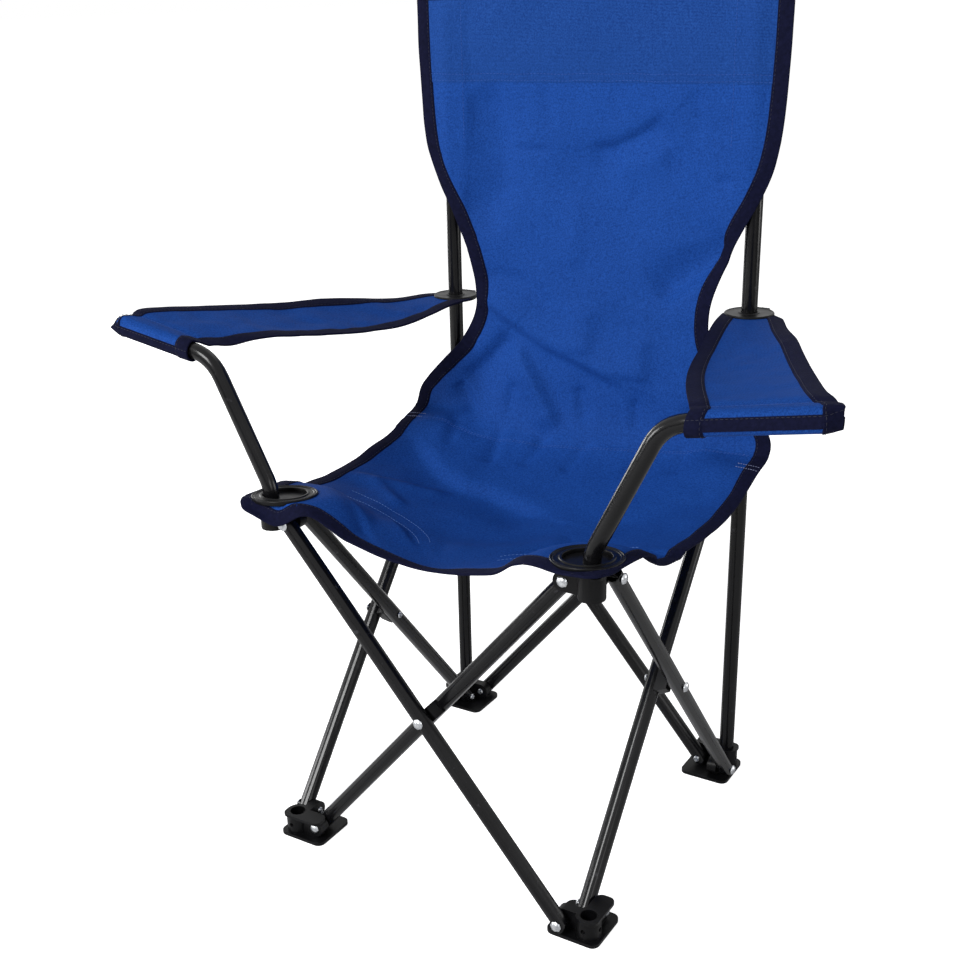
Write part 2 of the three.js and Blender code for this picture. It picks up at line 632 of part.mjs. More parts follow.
/** Front right corner cloth: flat on the hub, with the seat ring's neck through it. */
const seatCorner = () => {
  const cloth = sheet((u, v) => {
    const x = mix(tabX, seatWidth(-S), u);
    const y = mix(seatFrontY(x / seatWidth(-S)), tabY, v);
    return new THREE.Vector3(x, y, seatHeight(x, y));
  }, 6, 5);
  const holeR = SEAT_RING_HOLE_D / 2 + RING_NECK + CLOTH_GAP * 2;
  return cut(cloth, boreAlongZ(holeR, seatZ - TUBE_D, seatZ + TUBE_D, seatRingAt, -seatRingAt, 10));
};

const armrestTab = (ringZ) => {
  const y0 = armrestHingeY + CLOTH_GAP;
  const cloth = sheet((u, v) => armrestPoint(u, mix(y0, S + ARMREST_TAB, v), ringZ), 3, 6);
  return cut(cloth, boreAlongZ(boreR + RING_NECK + CLOTH_GAP * 2, ringZ - TUBE_D, ringZ + TUBE_D, S, S, 8));
};

const armrestRear = (ringZ) => sheet(
  (u, v) => armrestPoint(u, mix(armrestMidY + CLOTH_GAP, armrestHingeY, v), ringZ), 5, 6,
);

/** The armrest's front half, carried round the arm tube's cross run as a sleeve and back under itself. */
const armrestFront = (ringZ) => {
  const rows = ARMREST_ROWS.wrap + ARMREST_ROWS.flat;
  const wrapShare = ARMREST_ROWS.wrap / rows;
  return sheet((u, v) => {
    const flat = (v - wrapShare) / (1 - wrapShare);
    if (flat > 0) return armrestPoint(u, mix(-S, armrestMidY, flat), ringZ);
    const angle = mix(rad(SLEEVE_WRAP), 0, v / wrapShare);
    const top = armrestPoint(u, -S, ringZ);
    return top.add(new THREE.Vector3(0, -sleeveR * Math.sin(angle), sleeveR * (Math.cos(angle) - 1)));
  }, 5, rows);
};

// ---------------------------------------------------------------- scene graph
const finish = {
  tube: { color: 0x1b1b1e, roughness: 0.32, metalness: 0.6 },
  plastic: { color: 0x141415, roughness: 0.5, metalness: 0 },
  zinc: { color: 0xc9ccd0, roughness: 0.3, metalness: 0.95 },
  cloth: { color: 0x1c479c, roughness: 0.85, metalness: 0 },
};

const chair = new THREE.Group();

const addMesh = (parent, name, geometry, kind) => {
  const mesh = new THREE.Mesh(geometry, new THREE.MeshStandardMaterial(finish[kind]));
  mesh.name = name;
  parent.add(mesh);
  return mesh;
};

const geometries = {
  foot: toGeometry(footSolid()),
  hub: toGeometry(hubSolid()),
  leg: toGeometry(legSolid()),
  spacer: toGeometry(spacerSolid()),
  outerRivet: rivetGeometry(headSeatOuter, tailSeatOuter),
  innerRivet: rivetGeometry(headSeatInner, tailSeatInner),
  crossingRivet: rivetGeometry(headSeatOuter, tailSeatInner),
};
const seatRing = ringGeometry(SEAT_RING_HOLE_D / 2, seatRingR, seatZ);

// corners and sides go round by quarter turns from the front right corner and the front side
const quarterTurns = [
  { corner: 'front_right', side: 'front' },
  { corner: 'rear_right', side: 'right' },
  { corner: 'rear_left', side: 'rear' },
  { corner: 'front_left', side: 'left' },
];

quarterTurns.forEach(({ corner, side }, k) => {
  const quarter = new THREE.Group();
  quarter.rotation.z = (k * Math.PI) / 2;
  chair.add(quarter);

  addMesh(quarter, `foot_${corner}`, geometries.foot, 'plastic').position.set(S, -S, 0);
  addMesh(quarter, `hub_${corner}`, geometries.hub, 'plastic').position.set(S, -S, hubPivotZ);

  const outer = addMesh(quarter, `leg_${side}_outer`, geometries.leg, 'tube');
  outer.position.set(halfSpan, -S - outerPlane, FOOT_PIVOT_Z);
  outer.rotation.y = -rad(OPEN_LEAN);
  const inner = addMesh(quarter, `leg_${side}_inner`, geometries.leg, 'tube');
  inner.position.set(-halfSpan, -S + innerPlane, FOOT_PIVOT_Z);
  inner.rotation.y = rad(OPEN_LEAN);

  const spacer = addMesh(quarter, `spacer_${side}`, geometries.spacer, 'plastic');
  spacer.position.set(0, -S, crossingZ);
  spacer.rotation.y = rad(OPEN_LEAN);

  const rivets = [
    ['outer_foot', geometries.outerRivet, halfSpan, FOOT_PIVOT_Z],
    ['outer_hub', geometries.outerRivet, -halfSpan, hubPivotZ],
    ['inner_foot', geometries.innerRivet, -halfSpan, FOOT_PIVOT_Z],
    ['inner_hub', geometries.innerRivet, halfSpan, hubPivotZ],
    ['crossing', geometries.crossingRivet, 0, crossingZ],
  ];
  rivets.forEach(([place, geometry, x, z]) => {
    addMesh(quarter, `rivet_${side}_${place}`, geometry, 'zinc').position.set(x, -S, z);
  });
});

/** The pieces that come in pairs, drawn for the right side with the armrest ring at a height. */
const sidePieces = (ringZ) => [
  ['back_post', postSolid().translate([S, S, 0]), 'tube'],
  ['arm_tube', armTube.translate([0, -S, 0]), 'tube'],
  ['seat_corner', seatCorner(), 'cloth'],
  ['seat_ring', seatRing.translate([seatRingAt, -seatRingAt, 0]), 'plastic'],
  ['armrest_front', armrestFront(ringZ), 'cloth'],
  ['armrest_rear', armrestRear(ringZ), 'cloth'],
  ['armrest_tab', armrestTab(ringZ), 'cloth'],
  ['armrest_ring', ringGeometry(boreR, armrestRingR, ringZ).translate([S, S, 0]), 'plastic'],
];
Object.entries(ARMREST_Z).forEach(([side, ringZ]) => {
  sidePieces(ringZ).forEach(([name, solid, kind]) => {
    addMesh(chair, `${name}_${side}`, toGeometry(side === 'left' ? solid.mirror([1, 0, 0]) : solid), kind);
  });
});

const panels = {
  seat_front: seatFront(),
  seat_rear: seatRear(),
  back_lower: backLower(),
  back_upper: backUpper(),
};
Object.entries(panels).forEach(([name, solid]) => addMesh(chair, name, toGeometry(solid), 'cloth'));

export default chair;
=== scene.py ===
"""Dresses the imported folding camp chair.

Its seat, back and armrests are sewn from cloth, every part gets its finish, and a studio and a
camera are set up round it.
"""

import json
import logging
import math
from dataclasses import dataclass, field
from enum import Enum
from typing import Callable, Iterable, Optional, Sequence

import bpy
import numpy as np
from mathutils import Matrix, Vector, kdtree, noise

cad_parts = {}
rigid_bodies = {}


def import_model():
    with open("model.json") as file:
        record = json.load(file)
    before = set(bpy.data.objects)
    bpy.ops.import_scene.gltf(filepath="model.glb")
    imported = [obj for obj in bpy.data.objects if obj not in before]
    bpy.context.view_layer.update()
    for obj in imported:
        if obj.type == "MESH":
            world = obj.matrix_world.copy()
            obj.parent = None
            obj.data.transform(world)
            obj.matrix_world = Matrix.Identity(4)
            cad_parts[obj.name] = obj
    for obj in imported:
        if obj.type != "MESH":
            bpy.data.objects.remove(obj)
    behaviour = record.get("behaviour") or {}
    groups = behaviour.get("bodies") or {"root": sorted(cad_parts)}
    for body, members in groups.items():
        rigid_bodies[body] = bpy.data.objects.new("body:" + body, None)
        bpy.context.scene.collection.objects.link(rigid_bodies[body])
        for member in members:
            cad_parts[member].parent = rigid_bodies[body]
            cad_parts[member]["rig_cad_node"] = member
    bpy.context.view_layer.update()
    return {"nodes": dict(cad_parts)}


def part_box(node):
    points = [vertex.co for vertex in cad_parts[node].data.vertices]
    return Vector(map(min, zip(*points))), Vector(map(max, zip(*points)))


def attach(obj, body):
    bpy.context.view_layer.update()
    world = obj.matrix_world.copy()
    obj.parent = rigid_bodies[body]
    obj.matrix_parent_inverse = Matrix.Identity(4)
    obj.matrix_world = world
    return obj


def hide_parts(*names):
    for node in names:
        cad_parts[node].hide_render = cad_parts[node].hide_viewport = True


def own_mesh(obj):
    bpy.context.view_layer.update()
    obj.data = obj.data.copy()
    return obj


LOG = logging.getLogger("camp_chair")
MM = 0.001
SIDES = (("left", -1), ("right", 1))
Pair = tuple[bpy.types.Node, object]
Span = tuple[int, int]
Test = Callable[[Vector], bool]


# ---------------------------------------------------------------- small maths
def mix(a: np.ndarray, b: np.ndarray, t: np.ndarray) -> np.ndarray:
    """The value a share t of the way from a to b."""
    return a + (b - a) * t


def smooth(x: np.ndarray) -> np.ndarray:
    """A soft step from 0 to 1 as x goes from 0 to 1."""
    x = np.clip(x, 0.0, 1.0)
    return x * x * (3.0 - 2.0 * x)


def bell(x: np.ndarray, width: float) -> np.ndarray:
    """A soft bump: 1 where x is 0, and about a third at that width from it."""
    return np.exp(-((x / width) ** 2))


def unit(v: np.ndarray) -> np.ndarray:
    """Vectors along the last axis, scaled to a length of 1."""
    return v / np.maximum(np.linalg.norm(v, axis=-1, keepdims=True), 1e-12)


def points_at(x: np.ndarray, y: np.ndarray, z: np.ndarray) -> np.ndarray:
    """A row of points from their coordinates, each a single value or one a point."""
    return np.stack(np.broadcast_arrays(x, y, z), axis=-1)


def travelled(points: np.ndarray) -> np.ndarray:
    """Distance travelled along a line of points, from its first one."""
    steps = np.linalg.norm(np.diff(points, axis=0), axis=1)
    return np.concatenate([[0.0], np.cumsum(steps)])


def read_off(at: np.ndarray, arc: np.ndarray, table: np.ndarray) -> np.ndarray:
    """A table's rows of three values, read off at distances along the line that it follows."""
    return np.stack([np.interp(at, arc, table[:, k]) for k in range(3)], axis=-1)


def rough(points: np.ndarray, size: float, seed: float, octaves: int = 3) -> np.ndarray:
    """Soft noise from about -1 to 1 at each point.

    Args:
        points: Places, one a row.
        size: Width of the noise's largest lumps, in metres.
        seed: Shifts the pattern.
        octaves: How many finer layers are added.

    Returns:
        One value a point.
    """
    offset = Vector((seed, seed * 0.37, -seed))
    flat = points.reshape(-1, points.shape[-1])
    values = [noise.fractal(Vector(p) / size + offset, 1.0, 2.0, octaves) for p in flat]
    return np.array(values).reshape(points.shape[:-1])


def curve_through(points: np.ndarray, samples: int = 14) -> np.ndarray:
    """A centripetal Catmull-Rom curve through points.

    Args:
        points: The points to pass through, one a row.
        samples: Points on each stretch.

    Returns:
        The curve's points.
    """
    p = np.vstack([2 * points[0] - points[1], points, 2 * points[-1] - points[-2]])
    out = []
    for i in range(1, len(p) - 2):
        knots = [0.0]
        for a, b in zip(p[i - 1 : i + 2], p[i : i + 3]):
            knots.append(knots[-1] + math.sqrt(float(np.linalg.norm(b - a))))
        t = np.linspace(knots[1], knots[2], samples, endpoint=False)[:, None]
        level = list(p[i - 1 : i + 3])
        for spans in (((0, 1), (1, 2), (2, 3)), ((0, 2), (1, 3)), ((1, 2),)):
            level = [
                (knots[b] - t) / (knots[b] - knots[a]) * before
                + (t - knots[a]) / (knots[b] - knots[a]) * after
                for (a, b), before, after in zip(spans, level, level[1:])
            ]
        out.append(level[0])
    return np.vstack([*out, points[-1:]])


# ---------------------------------------------------------------- finishes
def tone(hex_code: str, share: float = 1.0) -> tuple[float, float, float, float]:
    """A linear colour from an sRGB hex code such as 1c479c, darkened to a share of its light."""
    parts = [int(hex_code[i : i + 2], 16) / 255 for i in (0, 2, 4)]
    linear = [c / 12.92 if c <= 0.04045 else ((c + 0.055) / 1.055) ** 2.4 for c in parts]
    return (*(c * share for c in linear), 1.0)


class NodeBoard:
    """The node tree of a material or a world, with short ways to add nodes already joined."""

    def __init__(self, owner: bpy.types.ID) -> None:
        """Empties the owner's tree."""
        owner.use_nodes = True
        self.tree = owner.node_tree
        self.tree.nodes.clear()

    def add(self, kind: str, inputs: Optional[dict] = None, **settings: object) -> bpy.types.Node:
        """Adds a node.

        Args:
            kind: The node's type.
            inputs: For its sockets, by name or number: values, or (node, output) pairs to join.
            settings: The node's own properties.

        Returns:
            The node.
        """
        node = self.tree.nodes.new(kind)
        for key, value in settings.items():
            setattr(node, key, value)
        for key, value in (inputs or {}).items():
            if isinstance(value, tuple) and isinstance(value[0], bpy.types.Node):
                source, out = value
                self.tree.links.new(source.outputs[out], node.inputs[key])
            else:
                node.inputs[key].default_value = value
        return node

    def maths(self, operation: str, *values: object) -> Pair:
        """Adds a Math node on pairs or numbers, and gives its (node, output) pair."""
        return self.add("ShaderNodeMath", dict(enumerate(values)), operation=operation), 0

    def surface(self, **sockets: object) -> None:
        """Covers the material with a Principled shader: a value or a pair for each socket."""
        names = {k.replace("_", " ").title().replace("Ior", "IOR"): v for k, v in sockets.items()}
        shader = self.add("ShaderNodeBsdfPrincipled", names)
        self.add("ShaderNodeOutputMaterial", {"Surface": (shader, 0)})

    def cloth_axes(self) -> bpy.types.Node:
        """The place in the flat cloth, in metres, as a node with the outputs 0 and 1."""
        place = self.add("ShaderNodeTexCoord"), "UV"
        return self.add("ShaderNodeSeparateXYZ", {"Vector": place})

    def wave(self, *factors: Pair) -> Pair:
        """A wave of -1 to 1, or two multiplied, brought to the range 0 to 1."""
        product = self.maths("MULTIPLY", *factors) if len(factors) > 1 else factors[0]
        return self.maths("MULTIPLY_ADD", product, 0.5, 0.5)

    def blotches(self, scale: float, detail: float = 3.0) -> Pair:
        """A noise on Object coordinates."""
        place = self.add("ShaderNodeTexCoord"), "Object"
        inputs = {"Vector": place, "Scale": scale, "Detail": detail, "Roughness": 0.55}
        return self.add("ShaderNodeTexNoise", inputs), 0

    def ramp(self, factor: Pair, dark: str, light: str, low: float, high: float) -> Pair:
        """A ramp from a dark to a light hex colour as a factor goes from low to high."""
        node = self.add("ShaderNodeValToRGB", {0: factor})
        for stop, position, colour in zip(node.color_ramp.elements, (low, high), (dark, light)):
            stop.position, stop.color = position, tone(colour)
        return node, 0

    def blend(self, share: object, a: object, b: object) -> Pair:
        """Two colours, as values or pairs, mixed by a share, which is a number or a pair."""
        return self.add("ShaderNodeMix", {0: share, 6: a, 7: b}, data_type="RGBA"), 2

    def bump(self, height: Pair, strength: float, distance: float) -> Pair:
        """The normal of a surface raised by a height."""
        inputs = {"Height": height, "Strength": strength, "Distance": distance}
        return self.add("ShaderNodeBump", inputs), 0

    def grain(self, scale: float, detail: float, low: float, high: float) -> Pair:
        """A roughness that goes from low to high in blotches."""
        inputs = {"Value": self.blotches(scale, detail), "To Min": low, "To Max": high}
        return self.add("ShaderNodeMapRange", inputs), 0


@dataclass(frozen=True)
class WovenCloth:
    """Coated polyester in a plain weave laid on the bias."""

    name: str = "woven_polyester"
    dark: str = "0b3070"
    light: str = "133e88"
    shade: str = "041948"
    fleck: str = "2b5cb2"
    gap: str = "05205a"
    crown: str = "2056b0"
    thread: float = 1.3 * MM

    def dress(self, board: NodeBoard) -> None:
        """Draws the weave on the piece's own UV map, over broad blotches and fine flecks."""
        axes = board.cloth_axes()
        threads = []
        for way in ("ADD", "SUBTRACT"):
            bias = board.maths(way, (axes, 0), (axes, 1))
            turns = board.maths("MULTIPLY", bias, math.pi / self.thread)
            threads.append(board.maths("SINE", turns))
        weave = board.wave(*threads)
        broad = board.ramp(board.blotches(7.0), self.dark, self.light, 0.3, 0.72)
        fine = board.ramp(board.blotches(640.0, 1.0), self.shade, self.fleck, 0.3, 0.75)
        gaps = board.ramp(weave, self.gap, self.crown, 0.1, 0.9)
        board.surface(
            base_color=board.blend(0.4, board.blend(0.5, broad, fine), gaps),
            roughness=0.7,
            specular_ior_level=0.05,
            normal=board.bump(weave, 0.5, 0.15 * MM),
        )


@dataclass(frozen=True)
class RibbedTape:
    """Woven edge tape, ribbed across its width."""

    name: str = "navy_tape"
    dark: str = "06081a"
    light: str = "12142e"
    rib: float = 1.0 * MM

    def dress(self, board: NodeBoard) -> None:
        """Draws the ribs on the piece's own UV map, over fuzz."""
        turns = board.maths("MULTIPLY", (board.cloth_axes(), 1), 2 * math.pi / self.rib)
        ribs = board.wave(board.maths("SINE", turns))
        fuzz = board.ramp(board.blotches(260.0), self.dark, self.light, 0.3, 0.7)
        ridges = board.ramp(ribs, self.dark, self.light, 0.0, 1.0)
        board.surface(
            base_color=board.blend(0.45, fuzz, ridges),
            roughness=0.85,
            specular_ior_level=0.06,
            normal=board.bump(ribs, 0.5, 0.15 * MM),
        )


@dataclass(frozen=True)
class SewingThread:
    """Twisted sewing thread."""

    name: str
    colour: str

    def dress(self, board: NodeBoard) -> None:
        """Makes the thread slightly uneven in tone."""
        twist = board.blotches(1500.0, 1.0)
        shade, base = tone(self.colour, 0.7), tone(self.colour)
        board.surface(
            base_color=board.blend(board.ramp(twist, "000000", "ffffff", 0.35, 0.65), shade, base),
            roughness=0.6,
            specular_ior_level=0.35,
            normal=board.bump(twist, 0.3, 0.05 * MM),
        )


@dataclass(frozen=True)
class PowderCoat:
    """Black powder coat on steel tube, satin, with faint rub marks."""

    name: str = "black_powder_coat"
    dark: str = "08080a"
    light: str = "0f0f11"
    worn: str = "2a2a2d"
    gloss: float = 0.17

    def dress(self, board: NodeBoard) -> None:
        """Lays the coat, rubbed in small spots."""
        base = board.ramp(board.blotches(24.0), self.dark, self.light, 0.35, 0.75)
        rubs = board.ramp(board.blotches(90.0, 6.0), "000000", "ffffff", 0.66, 0.72)
        board.surface(
            base_color=board.blend(rubs, base, tone(self.worn)),
            roughness=board.grain(160.0, 4.0, self.gloss - 0.05, self.gloss + 0.12),
            specular_ior_level=0.22,
            normal=board.bump(board.blotches(1400.0, 2.0), 0.06, 0.05 * MM),
        )


@dataclass(frozen=True)
class MouldedPlastic:
    """Black injection-moulded plastic with a fine spark texture."""

    name: str = "black_moulded_plastic"
    dark: str = "070708"
    light: str = "0f0f11"
    gloss: float = 0.34

    def dress(self, board: NodeBoard) -> None:
        """Gives the plastic its uneven black and its texture."""
        board.surface(
            base_color=board.ramp(board.blotches(40.0), self.dark, self.light, 0.3, 0.75),
            roughness=board.grain(120.0, 4.0, self.gloss - 0.06, self.gloss + 0.14),
            specular_ior_level=0.13,
            normal=board.bump(board.blotches(1800.0, 2.0), 0.12, 0.06 * MM),
        )


@dataclass(frozen=True)
class BrightZinc:
    """Zinc-plated steel of the rivets."""

    name: str = "bright_zinc"
    dark: str = "9a9da1"
    light: str = "d3d5d8"

    def dress(self, board: NodeBoard) -> None:
        """Gives the plating a brushed unevenness."""
        board.surface(
            base_color=board.ramp(board.blotches(220.0, 4.0), self.dark, self.light, 0.3, 0.65),
            metallic=1.0,
            roughness=board.grain(700.0, 3.0, 0.2, 0.42),
            specular_ior_level=0.5,
            normal=board.bump(board.blotches(900.0, 2.0), 0.08, 0.05 * MM),
        )


class Finish(Enum):
    """The chair's finishes: each one's recipe and the record's slot that it belongs to."""

    CLOTH = (WovenCloth(), "cloth")
    YOKE = (WovenCloth("woven_polyester_double", "0c2c64", "133874", "051843", "2c569e"), "cloth")
    TAPE = (RibbedTape(), "cloth")
    DARK_THREAD = (SewingThread("navy_thread", "111328"), "cloth")
    BLUE_THREAD = (SewingThread("blue_thread", "1d4a9a"), "cloth")
    CORNER_THREAD = (SewingThread("light_blue_thread", "5b82c8"), "cloth")
    PALE_THREAD = (SewingThread("pale_thread", "8d95b8"), "cloth")
    TUBE = (PowderCoat(), "tube")
    PLASTIC = (MouldedPlastic(), "plastic")
    ZINC = (BrightZinc(), "rivet")

    def material(self) -> bpy.types.Material:
        """This finish's material, made at its first use."""
        recipe = self.value[0]
        made = bpy.data.materials.get(recipe.name)
        if not made:
            made = bpy.data.materials.new(recipe.name)
            recipe.dress(NodeBoard(made))
        return made

    def put_on(self, piece: bpy.types.Object) -> None:
        """Gives the piece this finish alone."""
        if not piece.data.materials:
            piece.data.materials.append(self.material())
        for place in piece.material_slots:
            place.material = self.material()


# ---------------------------------------------------------------- the bench
class Bench:
    """The maker's ways with Blender's own tools."""

    WELD = 1e-6
    ROUND = 72

    @staticmethod
    def clear() -> None:
        """Leaves object mode with nothing selected."""
        if bpy.context.object and bpy.context.object.mode != "OBJECT":
            bpy.ops.object.mode_set(mode="OBJECT")
        bpy.ops.object.select_all(action="DESELECT")

    @staticmethod
    def named(name: str) -> bpy.types.Object:
        """The object just added, with its name and its mesh's name set."""
        piece = bpy.context.object
        piece.name = name
        piece.data.name = name
        return piece

    @staticmethod
    def apply(piece: bpy.types.Object) -> None:
        """Applies every modifier of the piece, in order."""
        bpy.context.view_layer.objects.active = piece
        for modifier in list(piece.modifiers):
            bpy.ops.object.modifier_apply(modifier=modifier.name)

    @staticmethod
    def soften(piece: bpy.types.Object, degrees: float = 38.0) -> None:
        """Shades the piece smooth, but for edges sharper than that."""
        Bench.clear()
        piece.select_set(True)
        bpy.context.view_layer.objects.active = piece
        bpy.ops.object.shade_smooth_by_angle(angle=math.radians(degrees))

    @staticmethod
    def round_edges(piece: bpy.types.Object, width: float, degrees: float) -> None:
        """Adds a modifier that rounds the edges sharper than that."""
        edges = piece.modifiers.new("edges", "BEVEL")
        edges.width = width
        edges.segments = 2
        edges.limit_method = "ANGLE"
        edges.angle_limit = math.radians(degrees)

    @staticmethod
    def places(piece: bpy.types.Object) -> np.ndarray:
        """Where the piece's vertices are, one a row."""
        places = np.empty(len(piece.data.vertices) * 3)
        piece.data.vertices.foreach_get("co", places)
        return places.reshape(-1, 3)

    @staticmethod
    def shape(piece: bpy.types.Object, places: np.ndarray) -> None:
        """Moves the piece's vertices to those places."""
        piece.data.vertices.foreach_set("co", places.ravel())
        piece.data.update()

    @staticmethod
    def laid(name: str, points: np.ndarray, flat: np.ndarray) -> bpy.types.Object:
        """A grid laid on a table of points.

        Args:
            name: The piece's name.
            points: Where each crossing of the grid goes, rows by columns.
            flat: Where each crossing lies in the flat cloth, in metres.

        Returns:
            The piece, with the flat places as its UV map.
        """
        rows, cols = points.shape[:2]
        Bench.clear()
        bpy.ops.mesh.primitive_grid_add(x_subdivisions=cols - 1, y_subdivisions=rows - 1, size=2.0)
        piece = Bench.named(name)
        places = Bench.places(piece)
        share = (places[:, :2] + 1) / 2
        col, row = np.rint(share * (cols - 1, rows - 1)).astype(int).T
        corner = np.empty(len(piece.data.loops), int)
        piece.data.loops.foreach_get("vertex_index", corner)
        sewn_flat = piece.data.uv_layers[0]
        sewn_flat.name = "Cloth"
        sewn_flat.data.foreach_set("uv", flat[row[corner], col[corner]].ravel())
        Bench.shape(piece, points[row, col])
        return piece

    @staticmethod
    def remove_faces(piece: bpy.types.Object, gone: Test) -> None:
        """Deletes the faces whose centre answers yes."""
        Bench.clear()
        bpy.context.view_layer.objects.active = piece
        bpy.ops.object.mode_set(mode="EDIT")
        bpy.ops.mesh.select_mode(type="FACE")
        bpy.ops.mesh.select_all(action="DESELECT")
        bpy.ops.object.mode_set(mode="OBJECT")
        for face in piece.data.polygons:
            face.select = gone(face.center)
        bpy.ops.object.mode_set(mode="EDIT")
        bpy.ops.mesh.delete(type="FACE")
        bpy.ops.object.mode_set(mode="OBJECT")

    @staticmethod
    def thicken(piece: bpy.types.Object, thickness: float) -> None:
        """Gives a laid sheet its thickness, on its far side."""
        shell = piece.modifiers.new("thickness", "SOLIDIFY")
        shell.thickness = thickness
        shell.offset = -1.0
        Bench.apply(piece)

    @staticmethod
    def carry_normals(piece: bpy.types.Object, points: np.ndarray, normals: np.ndarray) -> None:
        """Shades a panel with the whole sheet's normals, so that no step shows where two meet.

        Args:
            piece: The panel, with its thickness.
            points: The sheet's points.
            normals: The sheet's normal at each point.
        """
        places, ups = points.reshape(-1, 3), normals.reshape(-1, 3)
        tree = kdtree.KDTree(len(places))
        for i, place in enumerate(places):
            tree.insert(place, i)
        tree.balance()
        nearest = [Vector(ups[tree.find(v.co)[1]]) for v in piece.data.vertices]
        rim_below = 0.6
        shaded = []
        for face in piece.data.polygons:
            for vertex in face.vertices:
                lean = face.normal.dot(nearest[vertex])
                sheet = nearest[vertex] * math.copysign(1, lean)
                shaded.append(tuple(face.normal if abs(lean) < rim_below else sheet))
        piece.data.normals_split_custom_set(shaded)

    @staticmethod
    def face_outward() -> None:
        """Turns every face of the piece in edit mode outward, and leaves edit mode."""
        bpy.ops.mesh.select_all(action="SELECT")
        bpy.ops.mesh.normals_make_consistent(inside=False)
        bpy.ops.object.mode_set(mode="OBJECT")

    @staticmethod
    def swept(name: str, loops: np.ndarray, flat: np.ndarray) -> bpy.types.Object:
        """A closed body from cross-sections, each a closed loop of points.

        Args:
            name: The piece's name.
            loops: The sections, each with the same number of points.
            flat: Each point's place in the flat strip, in metres.

        Returns:
            The piece, its ends closed and its faces outwards.
        """
        piece = Bench.laid(name, np.concatenate([loops, loops[:, :1]], axis=1), flat)
        bpy.ops.object.mode_set(mode="EDIT")
        bpy.ops.mesh.select_all(action="SELECT")
        bpy.ops.mesh.remove_doubles(threshold=Bench.WELD)
        bpy.ops.mesh.select_mode(type="EDGE")
        others = "use_wire", "use_multi_face", "use_non_contiguous", "use_verts"
        for _ in ("one end", "the other end"):
            bpy.ops.mesh.select_all(action="DESELECT")
            bpy.ops.mesh.select_non_manifold(extend=False, **dict.fromkeys(others, False))
            bpy.ops.mesh.edge_face_add()
        Bench.face_outward()
        return piece

    @staticmethod
    def turned(name: str, profile: Sequence[tuple], centre: Vector) -> bpy.types.Object:
        """A ring turned about an upright axis from a closed profile.

        Args:
            name: The piece's name.
            profile: Radius and height of each corner, in metres, in order round the section.
            centre: The axis and the height 0.

        Returns:
            The piece.
        """
        Bench.clear()
        radius, height = profile[0]
        start = (centre.x, centre.y, centre.z + height)
        bpy.ops.mesh.primitive_circle_add(vertices=Bench.ROUND, radius=radius, location=start)
        piece = Bench.named(name)
        bpy.ops.object.transform_apply(location=True, rotation=True, scale=True)
        bpy.ops.object.mode_set(mode="EDIT")
        bpy.ops.mesh.select_mode(type="EDGE")
        bpy.ops.mesh.select_all(action="SELECT")
        for (r0, z0), (r1, z1) in zip(profile, [*profile[1:], profile[0]]):
            rise = {"value": (0.0, 0.0, z1 - z0)}
            bpy.ops.mesh.extrude_edges_move(TRANSFORM_OT_translate=rise)
            bpy.ops.transform.resize(value=(r1 / r0, r1 / r0, 1.0), center_override=tuple(centre))
        bpy.ops.mesh.select_all(action="SELECT")
        bpy.ops.mesh.remove_doubles(threshold=Bench.WELD)
        Bench.face_outward()
        return piece


# ---------------------------------------------------------------- cloth
class Side(Enum):
    """A sheet's four edges: its first and last column, and its first and last row."""

    LEFT = "left"
    RIGHT = "right"
    FRONT = "front"
    TOP = "top"


@dataclass
class Run:
    """A stretch of a sheet's edge: at each station, the line of points that leads inward."""

    lines: np.ndarray
    normals: np.ndarray

    def course(self) -> tuple[np.ndarray, np.ndarray, np.ndarray]:
        """The edge's points, its direction at each, and the way inward a few points off."""
        edge = self.lines[:, 0]
        return edge, unit(np.gradient(edge, axis=0)), self.lines[:, 3] - edge

    def inset(self, distance: float) -> tuple[np.ndarray, np.ndarray]:
        """Points on the cloth at a distance square to the edge.

        Args:
            distance: How far inward, in metres.

        Returns:
            The points, and the cloth's normals there.
        """
        _, along, inward = self.course()
        square = np.sqrt(np.clip(1 - np.sum(along * unit(inward), axis=1) ** 2, 0.2, 1.0))
        points, normals = [], []
        for line, ups, at in zip(self.lines, self.normals, distance / square):
            arc = travelled(line)
            points.append(read_off(at, arc, line))
            normals.append(read_off(at, arc, ups))
        return np.array(points), unit(np.array(normals))

    def raised(self, distance: float, height: float) -> np.ndarray:
        """Points at a distance inside the edge and a height above the cloth."""
        points, normals = self.inset(distance)
        return points + normals * height

    def outward(self) -> np.ndarray:
        """Unit vectors in the cloth's plane, square to the edge and away from the cloth."""
        _, along, inward = self.course()
        square = unit(np.cross(along, self.normals[:, 0]))
        return square * -np.sign(np.sum(square * inward, axis=1, keepdims=True))


